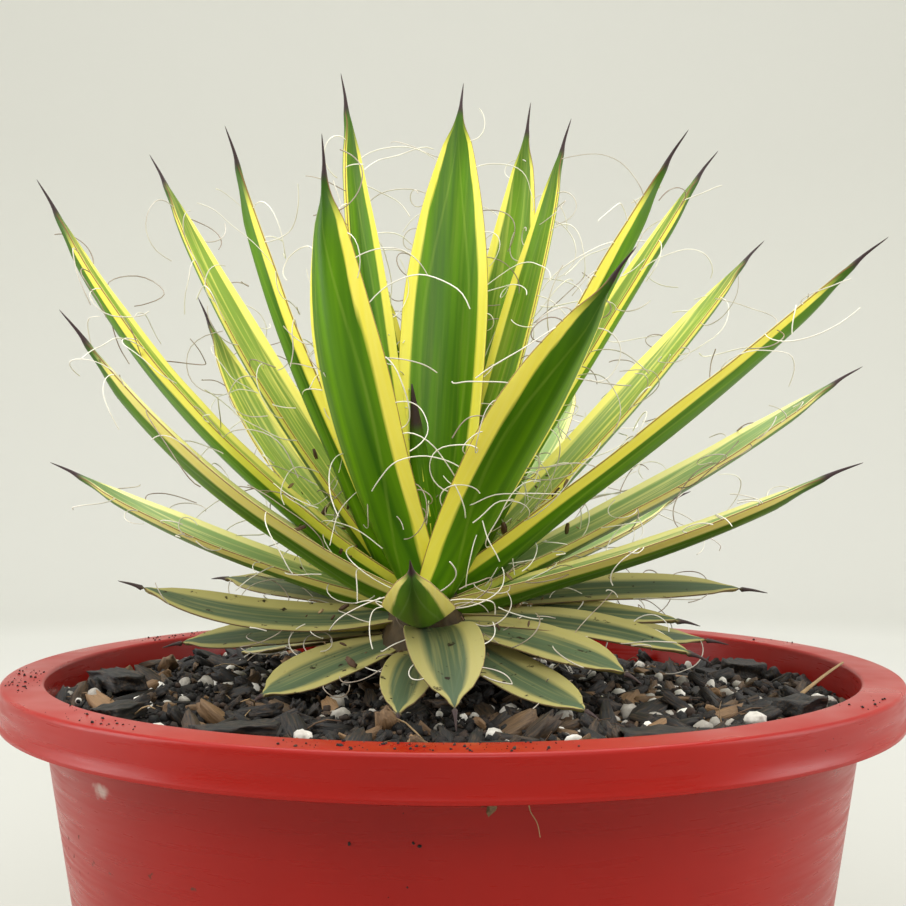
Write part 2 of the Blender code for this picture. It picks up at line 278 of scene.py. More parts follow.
def subdivide(piece: bpy.types.Object, levels: int) -> None:
    """Split every face of a piece without rounding it.

    Args:
        piece: The piece.
        levels: How many times each face is split in four.
    """
    finer = piece.modifiers.new("finer", "SUBSURF")
    finer.subdivision_type = "SIMPLE"
    finer.levels = finer.render_levels = levels
    apply_modifiers(piece)


def set_values(mesh: bpy.types.Mesh, name: str, values: np.ndarray) -> None:
    """Store one number or vector for each point of a mesh.

    Args:
        mesh: Mesh that gets the attribute.
        name: Name of the attribute.
        values: One row for each point.
    """
    values = np.asarray(values, np.float32)
    vector = values.ndim == 2
    made = mesh.attributes.new(name, "FLOAT_VECTOR" if vector else "FLOAT", "POINT")
    made.data.foreach_set("vector" if vector else "value", values.ravel())


def settle(piece: bpy.types.Object, slot: Slot, *nodes: str) -> None:
    """Hang a finished piece on the CAD body and report it.

    Args:
        piece: The finished piece.
        slot: Material slot of the piece; not used.
        nodes: CAD nodes that it stands for.
    """
    if nodes:
        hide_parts(*nodes)
    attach(piece, BODY)
    LOG.info("%s: %d faces", piece.name, len(piece.data.polygons))


def new_tree(name: str, inputs: dict[str, str]) -> tuple[bpy.types.NodeTree, bpy.types.Node]:
    """Start a Geometry Nodes tree with named inputs.

    Args:
        name: Name of the tree.
        inputs: Socket type of each input, by name.

    Returns:
        The tree and its input node.
    """
    tree = bpy.data.node_groups.new(name, "GeometryNodeTree")
    for label, kind in {"Geometry": "NodeSocketGeometry", **inputs}.items():
        tree.interface.new_socket(name=label, in_out="INPUT", socket_type=kind)
    tree.interface.new_socket(name="Result", in_out="OUTPUT", socket_type="NodeSocketGeometry")
    return tree, tree.nodes.new("NodeGroupInput")


def bake(host: bpy.types.Object, tree: bpy.types.NodeTree, inputs: dict) -> bpy.types.Object:
    """Run a Geometry Nodes tree on an object and keep the plain mesh.

    Args:
        host: Object that the tree starts from.
        tree: The tree.
        inputs: Value of each named input.

    Returns:
        The host, which now holds the result.
    """
    modifier = host.modifiers.new(tree.name, "NODES")
    modifier.node_group = tree
    for item in tree.interface.items_tree:
        if item.in_out == "INPUT" and item.name in inputs:
            modifier[item.identifier] = inputs[item.name]
    bpy.context.view_layer.update()
    graph = bpy.context.evaluated_depsgraph_get()
    made = bpy.data.meshes.new_from_object(
        host.evaluated_get(graph), preserve_all_data_layers=True, depsgraph=graph
    )
    host.modifiers.clear()
    host.data = made
    return host


def smooth_step(low: float, high: float, value: np.ndarray) -> np.ndarray:
    """Rise from 0 to 1, level at both ends.

    Args:
        low: Value at which the rise starts.
        high: Value at which it ends.
        value: Where the rise is read.

    Returns:
        A share from 0 to 1 for each value.
    """
    share = np.clip((value - low) / (high - low), 0.0, 1.0)
    return share * share * (3 - 2 * share)


def curve_through(places: np.ndarray, values: np.ndarray, at: np.ndarray) -> np.ndarray:
    """Read a smooth curve that passes through known values.

    Args:
        places: Rising places of the known values.
        values: A number or a vector at each place.
        at: Places to read.

    Returns:
        A value for each place read, along a straight line outside the known ones.
    """
    slopes = np.gradient(values, places, axis=0)
    held = np.clip(at, places[0], places[-1])
    left = np.clip(np.searchsorted(places, held, side="right") - 1, 0, len(places) - 2)
    step = places[left + 1] - places[left]
    u = (held - places[left]) / step
    beyond = at - held
    if values.ndim == 2:
        step, u, beyond = step[:, None], u[:, None], beyond[:, None]
    inside = (
        values[left] * (1 + 2 * u) * (1 - u) ** 2
        + slopes[left] * step * u * (1 - u) ** 2
        + values[left + 1] * u**2 * (3 - 2 * u)
        + slopes[left + 1] * step * u**2 * (u - 1)
    )
    ends = np.where(beyond < 0, slopes[0], slopes[-1])
    return inside + ends * beyond


class CadShape:
    """Welded copy of one CAD node's mesh."""

    def __init__(self, node: str) -> None:
        """Read the node.

        Args:
            node: Name of the CAD node.
        """
        mesh = frame["nodes"][node].data
        mesh.calc_loop_triangles()
        flat = np.empty(len(mesh.vertices) * 3, np.float32)
        mesh.vertices.foreach_get("co", flat)
        corners = np.empty(len(mesh.loop_triangles) * 3, np.int32)
        mesh.loop_triangles.foreach_get("vertices", corners)
        places = flat.reshape(-1, 3).astype(float)
        keys = np.round(places / WELD).astype(np.int64)
        _, first, index = np.unique(keys, axis=0, return_index=True, return_inverse=True)
        self.points = places[first]
        self.triangles = index.reshape(-1)[corners].reshape(-1, 3)

    def layers_from(self, start: int) -> list[np.ndarray]:
        """Group the points by how many edges they are from one of them.

        Args:
            start: Number of the point to start from.

        Returns:
            Point numbers, layer by layer, with the start alone in the first.
        """
        neighbours: dict[int, set[int]] = {}
        for triangle in self.triangles:
            for corner in triangle:
                neighbours.setdefault(int(corner), set()).update(map(int, triangle))
        layers, seen = [{start}], {start}
        while layers[-1]:
            layers.append({n for corner in layers[-1] for n in neighbours[corner]} - seen)
            seen |= layers[-1]
        return [np.array(sorted(layer)) for layer in layers[:-1]]

    def tree(self) -> BVHTree:
        """Return a search tree of the surface."""
        return BVHTree.FromPolygons([Vector(p) for p in self.points], self.triangles.tolist())


@dataclass
class LeafSkeleton:
    """Midline and section sizes of one leaf, measured on its CAD node from base to tip."""

    distance: np.ndarray
    centre: np.ndarray
    side: np.ndarray
    inward: np.ndarray
    width: np.ndarray
    thickness: np.ndarray
    trough_share: float

    @classmethod
    def measure(cls, node: str, crown: np.ndarray) -> "LeafSkeleton":
        """Find the rings of a CAD leaf, walking from its tip to its base.

        Args:
            node: Name of the leaf's CAD node.
            crown: Middle of the rosette, which the tip is farthest from.

        Returns:
            The measured skeleton.
        """
        shape = CadShape(node)
        tip = int(np.linalg.norm(shape.points - crown, axis=1).argmax())
        rings = [shape.points[layer] for layer in shape.layers_from(tip)][::-1]
        apex, rings = rings[-1][0], rings[:-1]
        widest = max(rings, key=lambda ring: np.ptp(ring, axis=0).max())
        gaps = np.linalg.norm(widest[:, None] - widest[None], axis=2)
        first, second = np.unravel_index(gaps.argmax(), gaps.shape)
        side = widest[second] - widest[first]
        side /= np.linalg.norm(side)
        centres, inwards, widths, depths, troughs = [], [], [], [], []
        for ring in rings:
            order = ring[np.argsort(ring @ side)]
            centre = (order[0] + order[-1]) / 2
            channel, keel = sorted(order[2:4], key=lambda p: np.linalg.norm(p - centre))
            centres.append(centre)
            widths.append(np.linalg.norm(order[-1] - order[0]))
            depths.append(np.linalg.norm(keel - channel))
            troughs.append(np.linalg.norm(channel - centre))
            inwards.append((channel - keel) / depths[-1])
        centres.append(apex)
        inwards.append(inwards[-1])
        centre = np.array(centres)
        steps = np.linalg.norm(np.diff(centre, axis=0), axis=1)
        if np.dot(np.cross(side, centre[1] - centre[0]), inwards[0]) < 0:
            side = -side
        return cls(
            distance=np.concatenate([[0.0], np.cumsum(steps)]),
            centre=centre,
            side=side,
            inward=np.array(inwards),
            width=np.array([*widths, 0.0]),
            thickness=np.array([*depths, 0.0]),
            trough_share=2 * max(troughs) / max(widths),
        )


@dataclass(frozen=True)
class LeafFinish:
    """Living agave leaf: a waxy cuticle over dark green tissue with yellow margins.

    The wax gives a soft sheen broken by fine lengthwise ribs. Neighbouring leaves leave pale
    imprints from the time when they were pressed together in the bud.
    """

    name: str
    centre_dark: str
    centre_bright: str
    pale_imprint_and_lit_face: str
    margin: str
    margin_pale: str
    edge: str
    bloom: str
    spine: str
    painted_light_inside: float
    soil_cover: float
    roughness: float
    margin_from: float
    margin_blur: float
    bare_tip: float

    def build(self) -> bpy.types.Material:
        """Return the finish as a material, which reads the attributes of a blade."""
        material, tree, shader = start_material(self.name)
        read = {
            name: add_node(tree, "ShaderNodeAttribute", attribute_name=name).outputs["Fac"]
            for name in (*BLADE_MARKS, "tone")
        }
        aside = add_node(tree, "ShaderNodeMath", {0: read["across"]}, operation="ABSOLUTE")
        # Ribs about 0.9 mm apart and 35 mm long, and bands about 3 mm wide and 120 mm long.
        lengthwise = add_node(
            tree, "ShaderNodeMath", {0: read["from_base"], 1: 0.026}, operation="MULTIPLY"
        )
        shifted = add_node(
            tree,
            "ShaderNodeMath",
            {0: read["tone"], 1: 90.0, 2: read["offset"]},
            operation="MULTIPLY_ADD",
        )
        lane = add_node(
            tree, "ShaderNodeCombineXYZ", {"X": shifted, "Y": lengthwise, "Z": read["inside"]}
        )
        ribs = add_node(
            tree, "ShaderNodeTexNoise", {"Vector": lane, "Scale": 1.1, "Detail": 3.0}
        ).outputs["Fac"]
        bands = add_node(
            tree, "ShaderNodeTexNoise", {"Vector": lane, "Scale": 0.32, "Detail": 2.0}
        ).outputs["Fac"]
        # Green centre, painted paler on the inner face where the overhead light falls on it:
        # painted light.
        stripe = add_node(
            tree, "ShaderNodeMapRange", {"Value": bands, "From Min": 0.3, "From Max": 0.8}
        )
        centre = add_node(
            tree,
            "ShaderNodeMix",
            {"Factor": stripe, "A": linear(self.centre_dark), "B": linear(self.centre_bright)},
            data_type="RGBA",
        )
        pale = add_node(
            tree, "ShaderNodeMath", {0: read["inside"], 1: self.painted_light_inside}, operation="MULTIPLY"
        )
        centre = add_node(
            tree,
            "ShaderNodeMix",
            {"Factor": pale, "A": centre, "B": linear(self.pale_imprint_and_lit_face)},
            data_type="RGBA",
        )
        # Pale streaks along the inner face, as strong as the painted light there.
        streak = add_node(
            tree, "ShaderNodeMapRange", {"Value": ribs, "From Min": 0.5, "From Max": 0.68}
        )
        streak = add_node(tree, "ShaderNodeMath", {0: streak, 1: pale}, operation="MULTIPLY")
        centre = add_node(
            tree,
            "ShaderNodeMix",
            {"Factor": streak, "A": centre, "B": linear(self.margin_pale)},
            data_type="RGBA",
        )
        # Bud imprint: a pale arc to each side, from the base to the widest part and back.
        arch = add_node(
            tree, "ShaderNodeMath", {0: read["along"], 1: 3.4, 2: 0.2}, operation="MULTIPLY_ADD"
        )
        arch = add_node(tree, "ShaderNodeMath", {0: arch}, operation="SINE")
        arch = add_node(
            tree, "ShaderNodeMath", {0: arch, 1: 0.5, 2: 0.06}, operation="MULTIPLY_ADD"
        )
        away = add_node(tree, "ShaderNodeMath", {0: aside, 1: arch}, operation="SUBTRACT")
        away = add_node(tree, "ShaderNodeMath", {0: away}, operation="ABSOLUTE")
        imprint = add_node(
            tree,
            "ShaderNodeMapRange",
            {"Value": away, "From Min": 0.05, "From Max": 0.015, "To Max": 0.35},
        )
        imprint = add_node(tree, "ShaderNodeMath", {0: imprint, 1: ribs}, operation="MULTIPLY")
        centre = add_node(
            tree,
            "ShaderNodeMix",
            {"Factor": imprint, "A": centre, "B": linear(self.pale_imprint_and_lit_face)},
            data_type="RGBA",
        )
        # Yellow margins with a wavering boundary: a quarter of each half, nearly half when old.
        bounds = add_node(
            tree,
            "ShaderNodeMath",
            {0: bands, 1: 0.28, 2: self.margin_from},
            operation="MULTIPLY_ADD",
        )
        past = add_node(tree, "ShaderNodeMath", {0: aside, 1: bounds}, operation="SUBTRACT")
        blur = self.margin_blur
        margin_mask = add_node(
            tree, "ShaderNodeMapRange", {"Value": past, "From Min": -blur, "From Max": blur}
        )
        bare = self.bare_tip
        short_of_tip = add_node(
            tree,
            "ShaderNodeMapRange",
            {"Value": read["from_tip"], "From Min": bare, "From Max": 2 * bare},
            interpolation_type="SMOOTHSTEP",
        )
        margin_mask = add_node(
            tree, "ShaderNodeMath", {0: margin_mask, 1: short_of_tip}, operation="MULTIPLY"
        )
        # Painted light: the margin is painted paler on the inner face, where the overhead light
        # falls, and paler still along the ribs.
        paler = add_node(
            tree,
            "ShaderNodeMath",
            {0: read["inside"], 1: 0.5, 2: ribs},
            operation="MULTIPLY_ADD",
            use_clamp=True,
        )
        margin = add_node(
            tree,
            "ShaderNodeMix",
            {"Factor": paler, "A": linear(self.margin), "B": linear(self.margin_pale)},
            data_type="RGBA",
        )
        colour = add_node(
            tree,
            "ShaderNodeMix",
            {"Factor": margin_mask, "A": centre, "B": margin},
            data_type="RGBA",
        )
        # Dark bloom over the last 34 mm, between the margins.
        bloom = add_node(
            tree,
            "ShaderNodeMapRange",
            {"Value": read["from_tip"], "From Min": 34.0, "From Max": 10.0, "To Max": 0.65},
            interpolation_type="SMOOTHSTEP",
        )
        between = add_node(tree, "ShaderNodeMath", {0: 1.0, 1: margin_mask}, operation="SUBTRACT")
        bloom = add_node(tree, "ShaderNodeMath", {0: bloom, 1: between}, operation="MULTIPLY")
        # Horny brown edge, about 0.3 mm wide, that the threads peel from.
        edge = add_node(
            tree, "ShaderNodeMapRange", {"Value": aside, "From Min": 1.0, "From Max": 1.04}
        )
        spine = add_node(
            tree,
            "ShaderNodeMapRange",
            {"Value": read["from_tip"], "From Min": 12.5, "From Max": 9.0},
            interpolation_type="SMOOTHSTEP",
        )
        # Crumbs and splashes of potting mix, 0.5 to 2 mm across.
        place = add_node(tree, "ShaderNodeTexCoord").outputs["Object"]
        splash = add_node(
            tree, "ShaderNodeTexNoise", {"Vector": place, "Scale": 420.0, "Detail": 4.0}
        ).outputs["Fac"]
        clean = 0.78 - 0.16 * self.soil_cover
        soiled = add_node(
            tree,
            "ShaderNodeMapRange",
            {"Value": splash, "From Min": clean, "From Max": clean + 0.06},
        )
        layers = (
            (bloom, self.bloom), (edge, self.edge), (spine, self.spine), (soiled, POTTING_STAIN)
        )
        for cover, tint in layers:
            colour = add_node(
                tree,
                "ShaderNodeMix",
                {"Factor": cover, "A": colour, "B": linear(tint)},
                data_type="RGBA",
            )
        rough = add_node(
            tree,
            "ShaderNodeMapRange",
            {
                "Value": bands,
                "From Min": 0.3,
                "From Max": 0.7,
                "To Min": self.roughness - 0.07,
                "To Max": self.roughness + 0.1,
            },
        )
        bump = add_node(
            tree, "ShaderNodeBump", {"Height": ribs, "Strength": 0.35, "Distance": 0.12 * MM}
        )
        tree.links.new(live_output(colour), shader.inputs["Base Color"])
        tree.links.new(rough.outputs[0], shader.inputs["Roughness"])
        tree.links.new(bump.outputs[0], shader.inputs["Normal"])
        shader.inputs["IOR"].default_value = 1.45
        shader.inputs["Specular IOR Level"].default_value = 0.17
        shader.inputs["Subsurface Weight"].default_value = 0.06
        shader.inputs["Subsurface Radius"].default_value = (0.9, 1.0, 0.3)
        shader.inputs["Subsurface Scale"].default_value = 1.2 * MM
        return material


LEAF_FINISHES = {
    Age.YOUNG: LeafFinish(
        name="young_agave_leaf",
        centre_dark="#33600a",
        centre_bright="#6c9e08",
        pale_imprint_and_lit_face="#9fb84a",
        margin="#f7e93c",
        margin_pale="#fbf27c",
        edge="#8a6242",
        bloom="#2c4a14",
        spine="#3d2f30",
        painted_light_inside=0.7,
        soil_cover=0.0,
        roughness=0.38,
        margin_from=0.6,
        margin_blur=0.03,
        bare_tip=12.0,
    ),
    Age.GROWN: LeafFinish(
        name="grown_agave_leaf",
        centre_dark="#3a680c",
        centre_bright="#74a022",
        pale_imprint_and_lit_face="#a3bd7c",
        margin="#efe257",
        margin_pale="#f6f0a4",
        edge="#8a6547",
        bloom="#3c5a2a",
        spine="#453638",
        painted_light_inside=0.7,
        soil_cover=0.25,
        roughness=0.42,
        margin_from=0.58,
        margin_blur=0.04,
        bare_tip=10.0,
    ),
    Age.OLD: LeafFinish(
        name="old_agave_leaf",
        centre_dark="#35442b",
        centre_bright="#566846",
        pale_imprint_and_lit_face="#64735a",
        margin="#a99e4a",
        margin_pale="#aca468",
        edge="#6f5745",
        bloom="#55674f",
        spine="#4a3d3c",
        painted_light_inside=0.34,
        soil_cover=0.8,
        roughness=0.5,
        margin_from=0.41,
        margin_blur=0.1,
        bare_tip=4.5,
    ),
}


@dataclass
class PotSizes:
    """Sizes of the pot, measured on its CAD node."""

    rim_radius: float
    height: float
    collar_foot: float
    collar_inner: float
    under_collar: float
    body_top: float
    base_radius: float
    floor: float
    floor_inner: float
    mouth_inner: float
    drain_circle: float
    drain_radius: float

    @classmethod
    def measure(cls) -> "PotSizes":
        """Return the sizes read from the CAD pot's corners."""
        points = CadShape("pot").points
        radius = np.hypot(points[:, 0], points[:, 1])
        height = points[:, 2]
        near = 0.05 * MM
        top, rim = height.max(), radius.max()
        collar_foot = height[radius > rim - near].min()
        low = np.abs(height - collar_foot) < near
        collar_inner = radius[low & (radius < rim - MM)].max()
        collar_wall = np.abs(radius - collar_inner) < near
        under_collar = height[collar_wall & (height < top - MM)].max()
        level = np.abs(height - under_collar) < near
        floor = height[(radius < MM) & (height > MM)].min()
        inner = radius[np.abs(height - floor) < near]
        drains = radius[(np.abs(height) < near) & (radius > 10 * MM) & (radius < 60 * MM)]
        return cls(
            rim_radius=rim,
            height=top,
            collar_foot=collar_foot,
            collar_inner=collar_inner,
            under_collar=under_collar,
            body_top=radius[level & (radius > rim * 0.7)].min(),
            base_radius=radius[height < 1.05 * MM].max(),
            floor=floor,
            floor_inner=inner.max(),
            mouth_inner=radius[height > top - 2 * MM].min(),
            drain_circle=(drains.min() + drains.max()) / 2,
            drain_radius=(drains.max() - drains.min()) / 2,
        )


@dataclass(frozen=True)
class RedPolypropylene:
    """Injection-moulded polypropylene: saturated red, softly glossy, dusted with potting mix."""

    red: str = "#a3150a"
    red_dark: str = "#8b0e07"
    dust: str = "#4a3226"
    chalk: str = "#c9beb4"
    rub_angle: float = 224.82
    rub_out: float = 0.971
    rub_below_collar: float = 6.4 * MM

    def build(self, sizes: PotSizes) -> bpy.types.Material:
        """Make the finish.

        Args:
            sizes: Sizes of the pot, which place the rub.

        Returns:
            The material.
        """
        material, tree, shader = start_material("red_polypropylene")
        place = add_node(tree, "ShaderNodeTexCoord").outputs["Object"]
        # Flow marks from the mould, some 30 mm across.
        flow = add_node(
            tree, "ShaderNodeTexNoise", {"Vector": place, "Scale": 30.0, "Detail": 3.0}
        ).outputs["Fac"]
        colour = add_node(
            tree,
            "ShaderNodeMix",
            {"Factor": flow, "A": linear(self.red), "B": linear(self.red_dark)},
            data_type="RGBA",
        )
        # Dried splashes of mix, 0.4 to 1.5 mm, in clusters some 45 mm apart.
        splash = add_node(
            tree, "ShaderNodeTexNoise", {"Vector": place, "Scale": 520.0, "Detail": 3.0}
        ).outputs["Fac"]
        cluster = add_node(
            tree, "ShaderNodeTexNoise", {"Vector": place, "Scale": 22.0, "Detail": 1.0}
        ).outputs["Fac"]
        both = add_node(
            tree, "ShaderNodeMath", {0: cluster, 1: 0.5, 2: splash}, operation="MULTIPLY_ADD"
        )
        dusty = add_node(
            tree,
            "ShaderNodeMapRange",
            {"Value": both, "From Min": 1.0, "From Max": 1.05, "To Max": 0.85},
        )
        colour = add_node(
            tree,
            "ShaderNodeMix",
            {"Factor": dusty, "A": colour, "B": linear(self.dust)},
            data_type="RGBA",
        )
        # One chalky rub under the collar, about 5 mm by 3 mm.
        angle, out = math.radians(self.rub_angle), sizes.body_top * self.rub_out
        rub = (
            out * math.cos(angle), out * math.sin(angle), sizes.collar_foot - self.rub_below_collar
        )
        from_smear = add_node(
            tree, "ShaderNodeVectorMath", {0: place, 1: rub}, operation="SUBTRACT"
        )
        from_smear = add_node(
            tree, "ShaderNodeVectorMath", {0: from_smear, 1: (1.0, 1.0, 1.7)}, operation="MULTIPLY"
        )
        reach = add_node(
            tree, "ShaderNodeVectorMath", {0: from_smear}, operation="LENGTH"
        ).outputs["Value"]
        ragged = add_node(
            tree, "ShaderNodeMath", {0: splash, 1: 4 * MM, 2: reach}, operation="MULTIPLY_ADD"
        )
        rubbed = add_node(
            tree,
            "ShaderNodeMapRange",
            {"Value": ragged, "From Min": 5.2 * MM, "From Max": 3.4 * MM, "To Max": 0.6},
        )
        colour = add_node(
            tree,
            "ShaderNodeMix",
            {"Factor": rubbed, "A": colour, "B": linear(self.chalk)},
            data_type="RGBA",
        )
        # Hairline scuffs that run round the pot.
        spread = add_node(
            tree, "ShaderNodeVectorMath", {0: place, 1: (60.0, 60.0, 900.0)}, operation="MULTIPLY"
        )
        scuffs = add_node(
            tree, "ShaderNodeTexNoise", {"Vector": spread, "Scale": 1.0, "Detail": 2.0}
        ).outputs["Fac"]
        rough = add_node(
            tree,
            "ShaderNodeMapRange",
            {"Value": scuffs, "From Min": 0.35, "From Max": 0.7, "To Min": 0.26, "To Max": 0.42},
        )
        rough = add_node(
            tree, "ShaderNodeMath", {0: dusty, 1: 0.4, 2: rough}, operation="MULTIPLY_ADD"
        )
        bump = add_node(
            tree, "ShaderNodeBump", {"Height": flow, "Strength": 0.25, "Distance": 0.25 * MM}
        )
        tree.links.new(live_output(colour), shader.inputs["Base Color"])
        tree.links.new(rough.outputs[0], shader.inputs["Roughness"])
        tree.links.new(bump.outputs[0], shader.inputs["Normal"])
        shader.inputs["IOR"].default_value = 1.49
        shader.inputs["Specular IOR Level"].default_value = 0.26
        return material


@dataclass(frozen=True)
class LooseMatter:
    """Dry plant or mineral matter in pieces, each piece of its own shade.

    Torn surfaces are matt and pitted, so the shade also changes within a piece.
    """

    name: str
    dark: str
    light: str
    grain: float
    roughness: float
    relief: float
    fibrous: float = 0.0
    few_light: float = 1.0

    def build(self) -> bpy.types.Material:
        """Return the finish as a material, which reads each piece's own tone."""
        material, tree, shader = start_material(self.name)
        tone = add_node(tree, "ShaderNodeAttribute", attribute_name="tone").outputs["Fac"]
        tone = add_node(tree, "ShaderNodeMath", {0: tone, 1: self.few_light}, operation="POWER")
        place = add_node(tree, "ShaderNodeTexCoord").outputs["Object"]
        pits = add_node(
            tree, "ShaderNodeTexNoise", {"Vector": place, "Scale": self.grain, "Detail": 4.0}
        ).outputs["Fac"]
        # Fibres that run the length of each piece, some 6 to 15 to its width.
        own = add_node(tree, "ShaderNodeAttribute", attribute_name="own_place").outputs["Vector"]
        drawn = add_node(
            tree, "ShaderNodeVectorMath", {0: own, 1: (2.5, 26.0, 26.0)}, operation="MULTIPLY"
        )
        fibres = add_node(
            tree, "ShaderNodeTexNoise", {"Vector": drawn, "Scale": 1.0, "Detail": 3.0}
        ).outputs["Fac"]
        pits = add_node(
            tree, "ShaderNodeMix", {"Factor": self.fibrous, "A": pits, "B": fibres}
        ).outputs["Result"]
        shade = add_node(
            tree, "ShaderNodeMath", {0: pits, 1: 1.0, 2: -0.5}, operation="MULTIPLY_ADD"
        )
        shade = add_node(
            tree, "ShaderNodeMath", {0: shade, 1: tone}, operation="ADD", use_clamp=True
        )
        colour = add_node(
            tree,
            "ShaderNodeMix",
            {"Factor": shade, "A": linear(self.dark), "B": linear(self.light)},
            data_type="RGBA",
        )
        bump = add_node(
            tree, "ShaderNodeBump", {"Height": pits, "Strength": 0.6, "Distance": self.relief}
        )
        tree.links.new(live_output(colour), shader.inputs["Base Color"])
        tree.links.new(bump.outputs[0], shader.inputs["Normal"])
        shader.inputs["Roughness"].default_value = self.roughness
        return material


COMPOST = LooseMatter("composted_fines", "#060504", "#38271b", 900.0, 0.8, 0.4 * MM, 0.0, 1.6)
PINE_BARK = LooseMatter(
    "composted_pine_bark", "#070504", "#8a6a47", 500.0, 0.65, 0.5 * MM, 0.8, 2.4
)
PERLITE = LooseMatter("expanded_perlite", "#9a948a", "#f2eee4", 700.0, 0.9, 0.25 * MM)
DRY_SCRAP = LooseMatter("dry_leaf_scrap", "#4c3320", "#a58a62", 600.0, 0.75, 0.15 * MM)
OLD_STEM = LooseMatter("fibrous_leaf_base", "#1d150d", "#6b5836", 300.0, 0.8, 0.5 * MM)
LEAF_THREAD = LooseMatter("bleached_leaf_fibre", "#8d7a66", "#f4f0e2", 200.0, 0.5, 0.02 * MM)


@dataclass
class NurseryPot:
    """Tapered nursery pot with a turned-down collar and drainage holes."""

    sizes: PotSizes = field(default_factory=PotSizes.measure)
    finish: RedPolypropylene = RedPolypropylene()
    turns: int = 192
    lip_radius: float = 0.9 * MM
    foot_radius: float = 1.2 * MM
    flash_height: float = 0.7 * MM
    flash_depth: float = 0.3 * MM
    drains: int = 6
    first_drain: float = 30.0

    def arc(self, radius: float, height: float, bend: float, start: float, end: float) -> list:
        """Lay out a rounded corner.

        Args:
            radius: Distance of the corner's centre from the pot's axis.
            height: Height of the corner's centre.
            bend: Radius of the rounding.
            start: First angle in degrees.
            end: Last angle in degrees.

        Returns:
            Radius and height of each point.
        """
        angles = np.radians(np.linspace(start, end, 7))
        return [(radius + bend * math.cos(a), height + bend * math.sin(a)) for a in angles]

    def outline(self) -> list[tuple[float, float]]:
        """Return the closed section of the pot as radius and height."""
        s = self.sizes
        lip = self.lip_radius
        foot = s.collar_foot
        bead = s.rim_radius + self.flash_depth
        return [
            (0.0, s.floor),
            (s.floor_inner * 0.5, s.floor),
            *self.arc(s.floor_inner - 2 * MM, s.floor + 2 * MM, 2 * MM, -90, 0),
            *self.arc(s.mouth_inner + lip, s.height - lip, lip, 180, 90),
            *self.arc(s.rim_radius - lip, s.height - lip, lip, 90, 0),
            (s.rim_radius + 0.05 * MM, s.height - 4 * MM),
            (s.rim_radius, foot + 2 * self.flash_height),
            (bead - 0.05 * MM, foot + 1.4 * self.flash_height),
            (bead, foot + self.flash_height),
            (bead - 0.05 * MM, foot + 0.2 * MM),
            (s.rim_radius - 0.2 * MM, foot),
            (s.collar_inner + 0.2 * MM, foot),
            (s.collar_inner, foot + 0.3 * MM),
            (s.collar_inner, s.under_collar - MM),
            (s.collar_inner - MM, s.under_collar),
            (s.body_top + MM, s.under_collar),
            (s.body_top, s.under_collar - MM),
            *[
                (
                    s.base_radius + (s.body_top - s.base_radius) * share,
                    self.foot_radius + (s.under_collar - self.foot_radius) * share,
                )
                for share in (0.9, 0.7, 0.5, 0.3, 0.1)
            ],
            *self.arc(s.base_radius - self.foot_radius, self.foot_radius, self.foot_radius, 0, -90),
            (s.base_radius * 0.5, 0.0),
            (0.0, 0.0),
        ]

    def build(self) -> None:
        """Turn the pot, drill its floor and dress it."""
        outline = self.outline()
        rings = outline[1:-1]
        top, foot = (0.0, 0.0, outline[0][1]), (0.0, 0.0, outline[-1][1])
        points = [top, *turned(rings, self.turns), foot]
        faces = ring_faces(len(rings), self.turns, 1)
        last = 1 + (len(rings) - 1) * self.turns
        for turn in range(self.turns):
            after = (turn + 1) % self.turns
            faces.append((0, 1 + after, 1 + turn))
            faces.append((last + turn, last + after, len(points) - 1))
        pot = new_piece("pot_shell", points, faces, self.finish.build(self.sizes))
        pot.data.set_sharp_from_angle(angle=math.radians(50))
        drill = self.drill()
        cut = pot.modifiers.new("drains", "BOOLEAN")
        cut.operation, cut.solver, cut.object = "DIFFERENCE", "EXACT", drill
        apply_modifiers(pot)
        bpy.data.objects.remove(drill)
        settle(pot, Slot.POT, "pot")

    def drill(self) -> bpy.types.Object:
        """Return the cutter for the drainage holes."""
        shape = bmesh.new()
        for hole in range(self.drains):
            angle = math.radians(self.first_drain + 360 * hole / self.drains)
            centre = Vector((math.cos(angle), math.sin(angle), 0)) * self.sizes.drain_circle
            bmesh.ops.create_cone(
                shape,
                cap_ends=True,
                segments=40,
                radius1=self.sizes.drain_radius,
                radius2=self.sizes.drain_radius,
                depth=20 * MM,
                matrix=Matrix.Translation(centre),
            )
        mesh = bpy.data.meshes.new("drill")
        shape.to_mesh(mesh)
        shape.free()
        cutter = bpy.data.objects.new("drill", mesh)
        bpy.context.scene.collection.objects.link(cutter)
        return cutter


